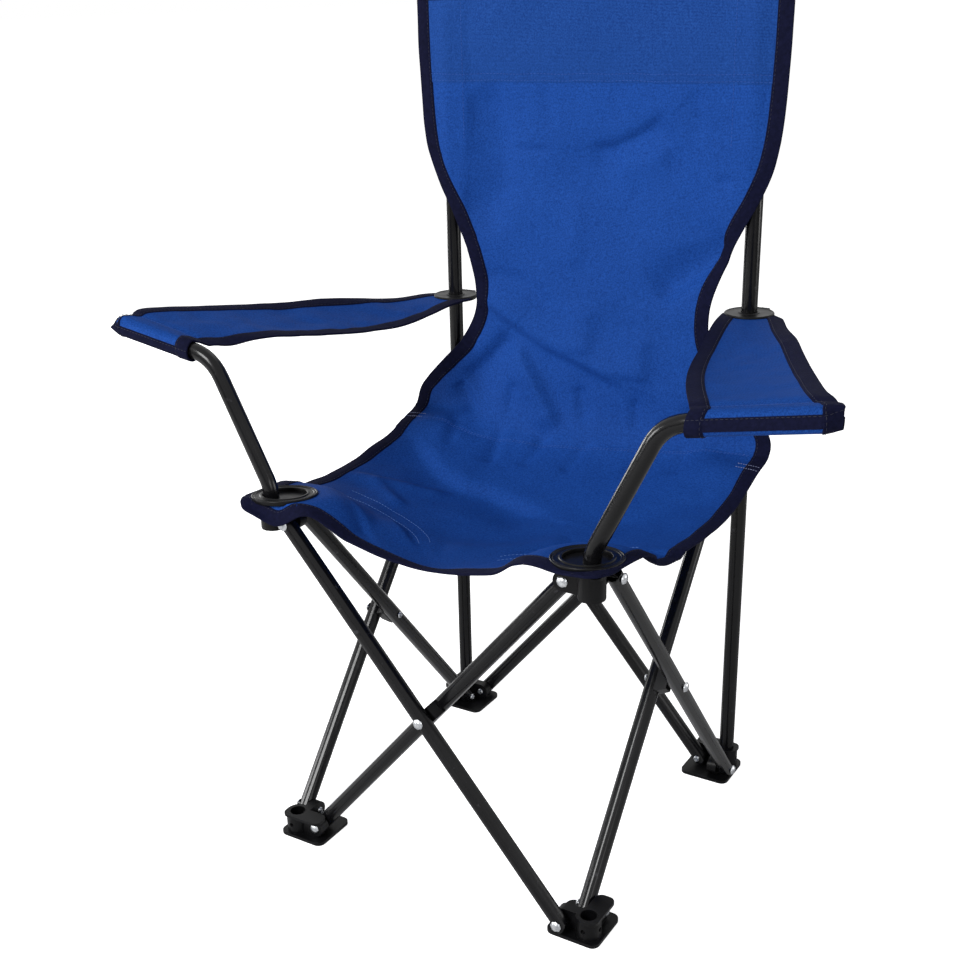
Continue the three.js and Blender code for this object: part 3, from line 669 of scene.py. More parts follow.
@dataclass
class Sheet:
    """A sheet of cloth as rows and columns of points, its columns running toward +X."""

    grid: np.ndarray

    def normals(self) -> np.ndarray:
        """The cloth's face normal at each point."""
        return unit(np.cross(np.gradient(self.grid, axis=1), np.gradient(self.grid, axis=0)))

    def flat(self) -> np.ndarray:
        """Each point's place in the flat cloth, in metres from the middle column."""
        middle = self.grid.shape[1] // 2
        steps = np.linalg.norm(np.diff(self.grid, axis=1), axis=2)
        u = np.concatenate([np.zeros((len(steps), 1)), np.cumsum(steps, axis=1)], axis=1)
        v = travelled(self.grid[:, middle])[:, None]
        return points_at(u - u[:, middle : middle + 1], v, 0.0)[..., :2]

    def cut_size(self, rows: Span, bare: Sequence[tuple] = ()) -> tuple[float, float, float]:
        """The size that some of its rows are cut to.

        Args:
            rows: The first and the last row.
            bare: Blocks of cells that are cut away, counted from the first row.

        Returns:
            Width, length and area, in metres.
        """
        first, last = rows
        flat = self.flat()[first : last + 1]
        width, length = (float(np.ptp(flat[..., k])) for k in (0, 1))
        down, over = np.diff(self.grid, axis=0)[:, :-1], np.diff(self.grid, axis=1)[:-1]
        cells = np.linalg.norm(np.cross(down, over), axis=2)[first:last]
        for block in bare:
            cells[block] = 0
        return width, length, min(float(cells.sum()), width * length)

    def run(self, side: Side, start: int, stop: int, depth: int = 14) -> Run:
        """The edge on one side, from one row or column number to another, both included."""
        tables = self.grid, self.normals()
        if side is Side.RIGHT:
            tables = [table[:, ::-1] for table in tables]
        if side is Side.TOP:
            tables = [table[::-1] for table in tables]
        if side in (Side.FRONT, Side.TOP):
            tables = [table.swapaxes(0, 1) for table in tables]
        return Run(*(table[start : stop + 1, :depth] for table in tables))

    def line(self, places: np.ndarray) -> tuple[np.ndarray, np.ndarray]:
        """Points and normals at fractional (row, column) places."""
        rows, cols = self.grid.shape[:2]
        r = np.clip(places[:, 0], 0, rows - 1.001)
        c = np.clip(places[:, 1], 0, cols - 1.001)
        i, j = r.astype(int), c.astype(int)
        a, b = (r - i)[:, None], (c - j)[:, None]

        def sample(table: np.ndarray) -> np.ndarray:
            """The table's value at the places."""
            low = mix(table[i, j], table[i, j + 1], b)
            high = mix(table[i + 1, j], table[i + 1, j + 1], b)
            return mix(low, high, a)

        return sample(self.grid), unit(sample(self.normals()))


@dataclass
class Sewing:
    """Cuts panels from a sheet, binds their edges and sews along them."""

    sheet: Sheet
    cloth_t: float = 0.9 * MM
    tape: float = 15 * MM
    tape_rise: float = 0.8 * MM
    over_tape: float = 0.15 * MM
    stitch: float = 3.0 * MM
    pitch: float = 4.0 * MM
    strand: float = 0.28 * MM

    def panel(self, name: str, rows: Span, cols: Span, finish: Finish = Finish.CLOTH,
              lift: float = 0.0, gone: Optional[Test] = None) -> bpy.types.Object:
        """A panel of the sheet.

        Args:
            name: The piece's name.
            rows: Its first and last row.
            cols: Its first and last column.
            finish: Its finish.
            lift: How far it lies proud of the sheet.
            gone: Answers yes for the places that are cut away.

        Returns:
            The panel.
        """
        part = slice(rows[0], rows[1] + 1), slice(cols[0], cols[1] + 1)
        points = self.sheet.grid + self.sheet.normals() * lift
        piece = Bench.laid(name, points[part], self.sheet.flat()[part])
        if gone:
            Bench.remove_faces(piece, gone)
        Bench.thicken(piece, self.cloth_t)
        Bench.soften(piece)
        Bench.carry_normals(piece, points, self.sheet.normals())
        finish.put_on(piece)
        return piece

    def binding(self, name: str, run: Run, width: float, lift: float = 0.0) -> bpy.types.Object:
        """Tape folded over an edge.

        Args:
            name: The piece's name.
            run: The edge.
            width: How far the tape reaches in from the edge.
            lift: Added to its height, where it lies on another tape.

        Returns:
            The tape.
        """
        rise, under = self.tape_rise + lift, self.cloth_t + self.tape_rise + lift
        shoulder, turn = width - 0.7 * MM, 1.4 * MM
        face = (width, 0.05 * MM), (shoulder, rise), (width / 2, rise * 1.05), (turn, rise)
        back = (turn, -under), (width / 2, -under), (shoulder, -under), (width, -self.cloth_t)
        edge, normals = run.inset(0.0)
        middle = -self.cloth_t / 2
        loop = [run.raised(*corner) for corner in face]
        for out, height in ((0.5, rise * 0.7), (1.0, middle), (0.5, middle * 2 - rise * 0.7)):
            loop.append(edge + run.outward() * out * MM + normals * height)
        loop += [run.raised(*corner) for corner in back]
        return self.strip(name, np.stack(loop, axis=1))

    def bound(self, what: str, where: str, run: Run, lift: float = 0.0) -> list[bpy.types.Object]:
        """A binding along an edge, and the row of stitches that holds it, near its inner edge."""
        points, normals = run.inset(self.tape - 2.4 * MM)
        high = self.tape_rise + 0.12 * MM
        return [
            self.binding(f"{what}_tape_{where}", run, self.tape, lift),
            self.seam(f"{what}_tape_seam_{where}", points, normals, Finish.DARK_THREAD, high),
        ]

    def band(self, name: str, run: Run, start: float, width: float) -> bpy.types.Object:
        """A flat tape sewn on the cloth, from a distance inside a run's edge."""
        shoulder = 0.5 * MM
        section = [(0.0, -0.1), (shoulder, 0.75), (width / 2, 0.85), (width - shoulder, 0.75),
                   (width, -0.1), (width - shoulder, -0.4), (shoulder, -0.4)]
        loop = [run.raised(start + across, height * MM) for across, height in section]
        return self.strip(name, np.stack(loop, axis=1))

    def strip(self, name: str, loops: np.ndarray) -> bpy.types.Object:
        """A dressed tape from its cross-sections."""
        along = travelled(loops[:, 2])
        around = travelled(np.concatenate([loops[0], loops[0, :1]]))
        piece = Bench.swept(name, loops, np.stack(np.meshgrid(around, along), axis=2))
        Bench.soften(piece, 50.0)
        Finish.TAPE.put_on(piece)
        return piece

    def seam(self, name: str, points: np.ndarray, normals: np.ndarray, finish: Finish,
             height: float = 0.05 * MM, pitch: Optional[float] = None) -> bpy.types.Object:
        """A row of stitches.

        Args:
            name: The piece's name.
            points: The line that the row follows.
            normals: The cloth's normals along it.
            finish: The thread.
            height: How far the thread's middle lies above the line.
            pitch: From stitch to stitch.

        Returns:
            The row, one mesh.
        """
        pitch = pitch or self.pitch
        length = min(self.stitch, pitch * 0.78)
        arc = travelled(points)
        at = np.arange(pitch / 2, arc[-1], pitch)
        up = unit(read_off(at, arc, normals))
        ahead, behind = (read_off(at + step, arc, points) for step in (length / 2, -length / 2))
        along = unit(ahead - behind)
        across = unit(np.cross(up, along))
        centre = read_off(at, arc, points) + up * height
        Bench.clear()
        bpy.ops.mesh.primitive_uv_sphere_add(segments=6, ring_count=4, radius=1.0)
        piece = Bench.named(name)
        one = Bench.places(piece)
        places = (
            centre[:, None]
            + along[:, None] * one[None, :, 2:3] * length / 2
            + across[:, None] * one[None, :, 0:1] * self.strand
            + up[:, None] * one[None, :, 1:2] * self.strand
        )
        faces = [list(face.vertices) for face in piece.data.polygons]
        faces = [[i + k * len(one) for i in face] for k in range(len(at)) for face in faces]
        spare, piece.data = piece.data, bpy.data.meshes.new(name)
        bpy.data.meshes.remove(spare)
        piece.data.from_pydata(places.reshape(-1, 3).tolist(), [], faces)
        bpy.context.view_layer.objects.active = piece
        bpy.ops.object.mode_set(mode="EDIT")
        Bench.face_outward()
        Bench.soften(piece, 60.0)
        finish.put_on(piece)
        return piece

    def sew(self, name: str, places: Iterable, finish: Finish, height: float = 0.05 * MM,
            pitch: Optional[float] = None) -> bpy.types.Object:
        """A row of stitches along (row, column) places of the sheet."""
        points, normals = self.sheet.line(np.array(places))
        return self.seam(name, points, normals, finish, height, pitch)


# ---------------------------------------------------------------- sizes shared with the frame
@dataclass(frozen=True)
class ChairPlan:
    """Places of the frame that the cloth is cut to, in metres."""

    corner: float
    tube_r: float
    seat_z: float
    back_top: float
    ring_z: dict
    junction_y: float
    cloth_t: float = 1.2 * MM
    gap: float = 0.3 * MM
    tab: float = 46 * MM
    back_fold_z: float = 442.0 * MM
    ring_at: float = 165.93 * MM
    seat_ring_r: float = 33 * MM
    seat_hole_r: float = 22 * MM
    ring_lean: dict = field(default_factory=lambda: {-1: 6.0, 1: 4.0})
    ring_fall: tuple[float, float] = (-0.556, 0.831)

    @classmethod
    def from_frame(cls) -> "ChairPlan":
        """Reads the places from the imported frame's own nodes."""
        low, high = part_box("back_post_right")
        tube_r, corner = (high.x - low.x) / 2, (high.x + low.x) / 2
        ring_z = {}
        for side, _ in SIDES:
            ring_low, ring_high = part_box(f"armrest_ring_{side}")
            ring_z[side] = (ring_low.z + ring_high.z) / 2 + cls.cloth_t / 2
        return cls(
            corner=corner,
            tube_r=tube_r,
            seat_z=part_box("seat_corner_right")[1].z,
            back_top=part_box("back_upper")[1].z,
            ring_z=ring_z,
            junction_y=corner - tube_r - 17 * MM,
        )

    def ring_drop(self, x: np.ndarray, y: np.ndarray, sign: int) -> np.ndarray:
        """How far a seat ring that leans toward the back corner lies under its level, at a place.

        Args:
            x: Places across the chair.
            y: Places fore and aft.
            sign: -1 for the left ring, 1 for the right one.

        Returns:
            The drop, which is negative where the ring rises.
        """
        aside, back = self.ring_fall
        along = (x - sign * self.ring_at) * aside + (y + self.ring_at) * back
        return along * math.tan(math.radians(self.ring_lean[sign]))

    def past_ring(self, x: np.ndarray, y: np.ndarray) -> np.ndarray:
        """How far places lie outside the rim of the seat ring on their side."""
        return np.hypot(np.abs(x) - self.ring_at, y + self.ring_at) - self.seat_ring_r

    @property
    def tab_x(self) -> float:
        """Inner edge of the seat's corner tabs."""
        return self.corner - self.tab

    @property
    def tab_y(self) -> float:
        """Rear edge of the seat's corner tabs."""
        return self.tab - self.corner

    @property
    def fold_y(self) -> float:
        """Where the seat folds in two."""
        return (self.tab_y + self.junction_y) / 2


@dataclass(frozen=True)
class Fold:
    """A soft fold in the cloth, in millimetres, steeper on one side of its line than the other."""

    path: Sequence[tuple[float, float]]
    left: float
    right: float
    height: float

    def offset(self, at: np.ndarray) -> np.ndarray:
        """How far the fold moves the cloth at each place.

        Args:
            at: Places on the seat or the back, in metres.

        Returns:
            The move along the cloth's normal, in metres.
        """
        path = np.array(self.path, float) * MM
        arc = travelled(path)
        nearest = np.full(at.shape[:-1], np.inf)
        side, along = np.zeros_like(nearest), np.zeros_like(nearest)
        for a, b, before in zip(path[:-1], path[1:], arc[:-1]):
            run = b - a
            t = np.clip(((at - a) @ run) / (run @ run), 0, 1)
            away = at - a - t[..., None] * run
            off = np.linalg.norm(away, axis=-1)
            near = off < nearest
            nearest = np.where(near, off, nearest)
            side = np.where(near, run[0] * away[..., 1] - run[1] * away[..., 0], side)
            along = np.where(near, before + t * math.sqrt(run @ run), along)
        share = along / arc[-1]
        width = np.where(side > 0, self.left, self.right) * MM
        fade = smooth(share / 0.25 + 0.3) * smooth((1 - share) / 0.25 + 0.3)
        return self.height * MM * bell(nearest, width) * fade


# ---------------------------------------------------------------- seat and back
@dataclass
class Sling:
    """Seat and back, cut from one run of cloth between four corners and two posts."""

    plan: ChairPlan
    # Rows at the rear of the corner tabs, the seat's fold, the seam, the back's fold and the top.
    rows: Sequence[int] = (18, 62, 106, 124, 254)
    # Columns at the inner edges of the left and the right tabs, and at the right edge.
    cols: Sequence[int] = (20, 104, 124)
    corner_radius: float = 22 * MM
    nose_bow: float = 30 * MM
    front_hang: dict = field(default_factory=lambda: {-1: 23 * MM, 1: 4 * MM})
    # How far the seat hangs in its middle at the nose and the seam, more between them, and at
    # its side edges, in millimetres.
    sag: tuple[float, float, float, float] = (43, 12, 30, 27)
    pocket_in: float = 23 * MM
    pocket_foot: float = 694 * MM
    yoke_hem: float = 755 * MM
    # The cross seam's line over the seat, in millimetres across and fore and aft.
    lap: Sequence[tuple[float, float]] = (
        (-205, 116), (-124, 120), (-67, 128), (-23, 132), (62, 140), (205, 144),
    )
    # The back's outline, in millimetres outside the post's axis and above the ground.
    edge_points: Sequence[tuple[float, float]] = (
        (38, 388.6), (40, 405), (27, 424), (5, 447), (-19, 472), (-35, 502), (-37.5, 530),
        (-27, 572), (-8, 614), (9, 646), (20, 674), (26, 705), (30, 770), (31, 850),
    )
    # Folds of the back by their places across and up, and of the seat by those across and back.
    back_folds: Sequence[Fold] = (
        Fold(((-7, 686), (20, 686), (54, 702), (80, 720)), 7, 30, -5.6),
        Fold(((24, 672), (84, 684)), 16, 22, 4.8),
        Fold(((-130, 752), (-112, 694), (-112, 650), (-138, 600)), 20, 36, -8.6),
        Fold(((74, 540), (110, 565), (156, 600)), 24, 13, -11.0),
        Fold(((-135, 528), (-85, 498), (-48, 479), (-8, 466), (50, 445)), 24, 7, 8.4),
        Fold(((-128, 552), (-82, 540), (-42, 513)), 9, 11, -3.4),
        Fold(((-93, 486), (-114, 458), (-150, 424)), 26, 11, -8.0),
        Fold(((-92, 478), (-66, 440), (-43, 405), (-30, 385)), 9, 28, 9.8),
        Fold(((-1, 526), (-5, 470)), 12, 22, 5.3),
        Fold(((66, 500), (62, 448)), 12, 24, 6.0),
        Fold(((-162, 424), (-136, 392)), 6, 12, -5.9),
        Fold(((136, 661), (178, 661)), 4, 7, -2.5),
        Fold(((146, 716), (180, 724)), 5, 6, -2.2),
        Fold(((-99, 684), (-54, 684)), 4, 6, -2.1),
        Fold(((84, 690), (112, 640), (120, 600)), 16, 24, -4.2),
        Fold(((-58, 748), (-48, 706)), 6, 9, -1.8),
        Fold(((24, 750), (30, 716)), 6, 8, -1.4),
        Fold(((112, 748), (118, 700)), 7, 10, -2.1),
        Fold(((-20, 640), (-26, 560)), 12, 22, 2.8),
        Fold(((-92, 400), (-88, 432)), 6, 8, -3.6),
        Fold(((2, 398), (-8, 436)), 6, 8, -3.9),
        Fold(((64, 398), (60, 430)), 6, 8, -3.4),
        Fold(((120, 398), (126, 432)), 7, 9, -3.1),
    )
    seat_folds: Sequence[Fold] = (
        Fold(((-190, 84), (-129, 45), (-89, 34), (-60, 38), (-13, 26), (25, 18)), 11, 38, -9.8),
        Fold(((-196, -22), (-140, 2), (-94, 24)), 8, 13, 4.6),
        Fold(((-172, -12), (-112, -42)), 8, 12, 3.9),
        Fold(((-26, -98), (30, -72), (78, -26)), 24, 28, 5.1),
        Fold(((-150, 134), (-140, 94)), 6, 8, -3.2),
        Fold(((-95, 138), (-84, 88)), 7, 10, -3.9),
        Fold(((-40, 142), (-46, 94)), 7, 9, -3.4),
        Fold(((12, 142), (4, 98)), 7, 9, -3.0),
        Fold(((70, 143), (80, 104)), 7, 9, -2.8),
        Fold(((130, 143), (126, 108)), 7, 9, -2.5),
        Fold(((92, 12), (140, 40), (188, 78)), 14, 22, -3.4),
        Fold(((206, -112), (200, -58)), 22, 22, -8.0),
        Fold(((-98, -142), (-70, -100)), 30, 34, 6.0),
        Fold(((120, -110), (96, -50)), 16, 20, 2.8),
    )

    def seat_width(self, y: np.ndarray) -> np.ndarray:
        """Half the seat's width at a depth."""
        s = self.plan.corner
        t = np.clip((y + s) / (self.plan.junction_y + s), 0, 1)
        return s + (mix(26, 38, t) + 5 * np.sin(np.pi * t)) * MM

    def seat_height(self, x: np.ndarray, y: np.ndarray) -> np.ndarray:
        """The slung seat's height, level near the rings and the rear hubs."""
        plan = self.plan
        nose, seam, belly, rim = self.sag
        t = np.clip((y + plan.corner) / (plan.junction_y + plan.corner), 0, 1)
        s = np.minimum(np.abs(x) / self.seat_width(y), 1)
        bow = np.sin(np.pi * t)
        middle = mix(nose, seam, t) + belly * bow
        edge = rim * bow**1.2
        dip = edge + (middle - edge) * (1 - s * s) ** mix(3, 1.5, smooth(2 * t))
        hub = np.hypot(np.abs(x) - plan.corner, y - plan.junction_y) - 15.5 * MM
        free = np.minimum(plan.past_ring(x, y) - 4 * MM, hub)
        return plan.seat_z - dip * MM * smooth(free / (52 * MM))

    def front_edge(self, x: np.ndarray) -> np.ndarray:
        """The bowed front edge's place fore and aft."""
        share = x / self.seat_width(np.array(-self.plan.corner))
        return -self.plan.corner - self.nose_bow * (1 - (1 - share**2) ** 2)

    def lap_y(self, x: np.ndarray) -> np.ndarray:
        """The cross seam's place fore and aft."""
        lap = np.array(self.lap) * MM
        return np.interp(x, lap[:, 0], lap[:, 1])

    def back_width(self, z: np.ndarray) -> np.ndarray:
        """Half the back's width at a height."""
        outline = curve_through(np.array(self.edge_points, float))
        return self.plan.corner + np.interp(z / MM, outline[:, 1], outline[:, 0]) * MM

    def back_depth(self, x: np.ndarray, z: np.ndarray) -> np.ndarray:
        """The back's place fore and aft, bowed between the posts."""
        plan = self.plan
        t = (z - plan.seat_z) / (plan.back_top - plan.seat_z)
        front = plan.corner - plan.tube_r - plan.gap - plan.cloth_t - 0.5 * MM
        edge = mix(plan.junction_y, front, smooth(t * 1.6))
        inward = np.maximum(0, 1 - (x / (plan.corner - self.pocket_in)) ** 2)
        return edge + 14 * MM * np.sin(np.pi * np.clip(t, 0, 1)) * inward

    def column_at(self, x: np.ndarray, wide: float) -> np.ndarray:
        """The column number at a place across a row of the seat that is that wide to each side."""
        tab = self.plan.tab_x
        return np.interp(x, (-wide, -tab, tab, wide), (0, *self.cols))

    def place_on_seat(self, x: float, y: float) -> tuple[float, float]:
        """The row and column numbers at a place on the seat."""
        plan = self.plan
        depths = float(self.front_edge(np.array(x))), plan.tab_y, plan.fold_y, plan.junction_y
        row = np.interp(y, depths, (0, *self.rows[:3]))
        return row, self.column_at(x, float(self.seat_width(np.array(y))))

    def cut(self) -> Sheet:
        """Lays out the whole sheet, its seam rounded, its folds pressed in and its edges loose."""
        plan = self.plan
        r0, r1, r2, r3, r4 = self.rows
        c0, c1, cols = self.cols
        c = np.arange(cols + 1)

        def seat_x(y: np.ndarray) -> np.ndarray:
            """Each column's place across the seat at a depth."""
            wide = self.seat_width(y)
            left = mix(-wide, -plan.tab_x, np.clip(c / c0, 0, 1))
            inner = np.clip((c - c0) / (c1 - c0), 0, 1) * 2 * plan.tab_x
            right = np.clip((c - c1) / (cols - c1), 0, 1) * (wide - plan.tab_x)
            return left + inner + right

        front_y = self.front_edge(seat_x(np.full(cols + 1, -plan.corner)))
        stops = (front_y, plan.tab_y, plan.fold_y, plan.junction_y)
        rows = []
        for near, far, count in zip(stops, stops[1:], (r0, r1 - r0, r2 - r1)):
            for t in np.linspace(0, 1, count + 1)[:-1]:
                y = mix(near, far, t) + np.zeros(cols + 1)
                x = seat_x(y)
                rows.append(points_at(x, y, self.seat_height(x, y)))
        seam_x = seat_x(plan.junction_y)
        across = seam_x / self.seat_width(np.array(plan.junction_y))
        seam_z = self.seat_height(seam_x, np.full_like(seam_x, plan.junction_y))
        fold_y = self.back_depth(across * self.back_width(plan.back_fold_z), plan.back_fold_z)
        for t in np.linspace(0, 1, r3 - r2 + 1)[:-1]:
            x = across * self.back_width(mix(plan.seat_z, plan.back_fold_z, t))
            y, z = mix(plan.junction_y, fold_y, t), mix(seam_z, plan.back_fold_z, t)
            rows.append(points_at(x, y, z))
        for z in np.linspace(plan.back_fold_z, plan.back_top, r4 - r3 + 1):
            x = across * self.back_width(z)
            rows.append(points_at(x, self.back_depth(x, z), z))
        grid = self.round_seam(self.drape_corners(np.array(rows)), r2)
        return Sheet(grid + Sheet(grid).normals() * self.creases(grid, r2)[..., None])

    def drape_corners(self, grid: np.ndarray) -> np.ndarray:
        """Rounds the seat's two front corners in plan, and lets their front edges hang."""
        plan = self.plan
        x, y, z = np.abs(grid[..., 0]), grid[..., 1], grid[..., 2].copy()
        side = np.sign(grid[..., 0])
        wide, front = float(self.seat_width(np.array(-plan.corner))), plan.corner + self.nose_bow
        radius = self.corner_radius
        u = np.clip((x - wide + radius) / radius, 0, 1)
        v = np.clip((-y - front + radius) / radius, 0, 1)
        round_x = wide - radius + radius * u * np.sqrt(1 - v * v / 2)
        round_y = -(front - radius + radius * v * np.sqrt(1 - u * u / 2))
        both = (u > 0) & (v > 0)
        x, y = np.where(both, round_x, x), np.where(both, round_y, y)
        beside_nose = bell(x - 145 * MM, 36 * MM) * smooth((-y - 189 * MM) / (12 * MM))
        on_ring = 1 - smooth((plan.past_ring(x, y) - 3 * MM) / (30 * MM))
        for sign, drop in self.front_hang.items():
            fall = drop * beside_nose + plan.ring_drop(side * x, y, sign) * on_ring
            z -= np.where(side == sign, fall, 0)
        return np.stack([side * x, y, z], axis=-1)

    @staticmethod
    def round_seam(grid: np.ndarray, seam: int) -> np.ndarray:
        """Rounds the turn from seat to back, over more rows in the middle than at the edges."""
        away = np.abs(np.arange(len(grid)) - seam)
        middle = 1 - smooth((np.abs(grid[..., :1]) - 110 * MM) / (65 * MM))
        for reach, rounds, share in ((6.0, 34, 1.0), (11.0, 90, middle)):
            weight = 0.5 * bell(away, reach)[:, None, None]
            weight[[0, -1]] = 0
            for _ in range(rounds):
                level = (np.roll(grid, 1, axis=0) + np.roll(grid, -1, axis=0)) / 2
                grid = grid + weight * share * (level - grid)
        return grid

    def creases(self, grid: np.ndarray, seam: int) -> np.ndarray:
        """How far the folds, the slack and the wavy edges move each point along its normal."""
        plan = self.plan
        x, y, z = np.abs(grid[..., 0]), grid[..., 1], grid[..., 2]
        row, column = np.arange(len(grid)), np.arange(grid.shape[1])
        on_seat = (row < seam)[:, None]
        below = smooth((seam - row) / 8 + 0.5)[:, None]
        offset = np.zeros(grid.shape[:2])
        for fold in self.back_folds:
            offset += fold.offset(grid[..., ::2]) * (1 - below)
        for fold in self.seat_folds:
            offset += fold.offset(grid[..., :2]) * below
        offset += rough(grid, 0.11, 3.1, 2) * 3.4 * MM
        offset += rough(grid, 0.045, 7.7, 2) * 0.9 * MM
        behind = y - self.lap_y(grid[..., 0])
        puckers = rough(grid, 0.02, 2.3, 1) * 1.6 * MM - 0.8 * MM * bell(behind, 2.5 * MM)
        offset += puckers * bell(behind, 9 * MM) * on_seat
        near_edge = bell(np.minimum(column, column[::-1]) / self.cols[0], 0.5)
        offset += rough(grid, 0.03, 12.3, 1) * 1.9 * MM * near_edge * mix(0.6, 1.0, on_seat)
        offset += rough(grid, 0.04, 5.9, 1) * 2.2 * MM * bell(row, 5.0)[:, None]
        off_ring = smooth((plan.past_ring(x, y) - 2 * MM) / (22 * MM))
        off_post = smooth((np.hypot(x - plan.corner, y - plan.corner) - 16 * MM) / (14 * MM))
        offset *= np.where(on_seat, off_ring, np.maximum(off_post, 0.05))
        # Room behind the cloth, which is none where the pockets lie against it.
        inside, under = smooth((152 * MM - x) / (34 * MM)), smooth((684 * MM - z) / (32 * MM))
        room = 30 * MM * np.maximum(inside, under)
        offset = (offset - room + np.hypot(offset + room, 1.6 * MM)) / 2
        pressed = bell(x - 172 * MM, 11 * MM) * smooth((z - 620 * MM) / (60 * MM))
        pressed *= smooth((plan.back_top - 6 * MM - z) / (30 * MM)) * ~on_seat
        return offset + 3.2 * MM * pressed

    def build(self) -> None:
        """Sews the seat and the back, and hangs each piece on its body."""
        plan = self.plan
        sheet = self.cut()
        sewing = Sewing(sheet)
        r0, r1, r2, r3, r4 = self.rows
        c0, c1, cols = self.cols
        tabs = (np.s_[:r0, :c0], np.s_[:r0, c1:])

        def in_tab(p: Vector) -> bool:
            """Whether a place belongs to a corner tab."""
            return p.y < plan.tab_y and abs(p.x) > plan.tab_x

        nodes = "seat_front", "seat_rear", "back_lower", "back_upper"
        spans = dict(zip(nodes, ((0, r1), (r1, r2), (r2, r3), (r3, r4))))
        ends = {nodes[0]: ("nose", Side.FRONT, c0, c1), nodes[-1]: ("top", Side.TOP, 0, cols)}
        panels, sewn = {}, {}
        for node, span in spans.items():
            gone = in_tab if node == "seat_front" else None
            panels[node] = sewing.panel(node.replace("_", "_cloth_"), span, (0, cols), gone=gone)
        for node, (start, stop) in spans.items():
            sewn[node] = []
            for side in (Side.LEFT, Side.RIGHT):
                sewn[node] += sewing.bound(node, side.value, sheet.run(side, max(start, r0), stop))
            if node in ends:
                label, *edge = ends[node]
                sewn[node] += sewing.bound(node, label, sheet.run(*edge), sewing.over_tape)
        sewn["seat_rear"] += self.cross_seam(sewing)
        sewn["seat_front"] += self.corner_seams(sewing)
        sewn["back_upper"] += self.yoke(sewing) + self.pockets(sewing)
        for node, panel in panels.items():
            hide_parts(node)
            body = "foot_rear_left" if node == "back_upper" else node
            for piece in (panel, *sewn[node]):
                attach(piece, body)
                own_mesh(piece)
            width, length, area = sheet.cut_size(spans[node], tabs if node == "seat_front" else ())
            LOG.info("%s: cloth with %d sewn pieces", node, len(sewn[node]))
        self.corners(sewing)

    def cross_seam(self, sewing: Sewing) -> list[bpy.types.Object]:
        """The seam between seat and back, in two rows, and the tacks at its ends."""
        made = []
        for k, back in enumerate((0.0, 2.2 * MM)):
            across = np.linspace(-196 * MM, 196 * MM, 180)
            places = [self.place_on_seat(x, self.lap_y(x) + back) for x in across]
            made.append(sewing.sew(f"cross_seam_{k}", places, Finish.BLUE_THREAD))
        for (side, sign), start in zip(SIDES, (119 * MM, 118 * MM)):
            for k, y in enumerate((start, start + 7 * MM)):
                wide = float(self.seat_width(np.array(y)))
                across = sign * np.linspace(wide - 24 * MM, wide - 0.5 * MM, 24)
                places = [self.place_on_seat(x, y) for x in across]
                made.append(sewing.sew(f"tack_{side}_{k}", places, Finish.PALE_THREAD,
                                       sewing.tape_rise + 0.15 * MM, 2.6 * MM))
        return made

    def corner_seams(self, sewing: Sewing) -> list[bpy.types.Object]:
        """The two curved rows at each front corner of the seat."""
        made = []
        turn = np.radians(np.linspace(30, 87, 80))
        for side, sign in SIDES:
            for k, (wide, deep) in enumerate(((165, 118), (160, 98))):
                x = sign * (190 - wide * np.cos(turn) ** 0.667) * MM
                y = (-175 + deep * np.sin(turn) ** 0.667) * MM
                places = [self.place_on_seat(*place) for place in zip(x, y)]
                made.append(sewing.sew(f"corner_seam_{side}_{k}", places, Finish.CORNER_THREAD))
        return made

    def yoke(self, sewing: Sewing) -> list[bpy.types.Object]:
        """The doubled cloth across the top of the back, its hem stitched twice."""
        low, top = self.rows[3:]
        cols = self.cols[2]
        rise = (self.plan.back_top - self.plan.back_fold_z) / (top - low)
        hem = low + int((self.yoke_hem - self.plan.back_fold_z) / rise)
        made = [sewing.panel("back_yoke", (hem, top), (2, cols - 2), Finish.YOKE, 0.55 * MM)]
        across = np.linspace(3.2, cols - 3.2, 160)
        for k, step in enumerate((0.6, 2.7)):
            places = np.stack([hem + step + 0.12 * np.sin(across * 0.35), across], axis=1)
            made.append(sewing.sew(f"yoke_seam_{k}", places, Finish.BLUE_THREAD, 0.62 * MM))
        return made

    def pocket_sheet(self, sign: int) -> Sheet:
        """The sleeve behind the back that slips over a post and closes over its top.

        Args:
            sign: -1 for the left post, 1 for the right one.

        Returns:
            Its sheet, from the hem up.
        """
        plan = self.plan
        post_top = plan.back_top - 3.5 * MM
        sides = np.linspace(self.pocket_foot, post_top, 40)
        rows = []
        for z in np.concatenate([sides, np.linspace(post_top, plan.back_top, 8)[1:]]):
            inner = plan.corner - self.pocket_in
            outer = float(self.back_width(np.array(z))) - 2 * MM
            x = mix(inner, outer, np.linspace(0, 1, 29))
            off = np.where(x < plan.corner, (plan.corner - x) / (plan.corner - inner),
                           (x - plan.corner) / (outer - plan.corner))
            over = max(0.0, (z - post_top) / (plan.back_top - post_top))
            close = math.sqrt(max(0.0, 1 - over**2))
            bulge = np.maximum(1 - off**2.6, 0) ** (1 / 2.6)
            front = self.back_depth(x, np.full_like(x, z)) + plan.cloth_t
            rows.append(points_at(sign * x, front + 20.5 * MM * bulge * close, z))
        return Sheet(np.array(rows)[:, ::-sign])

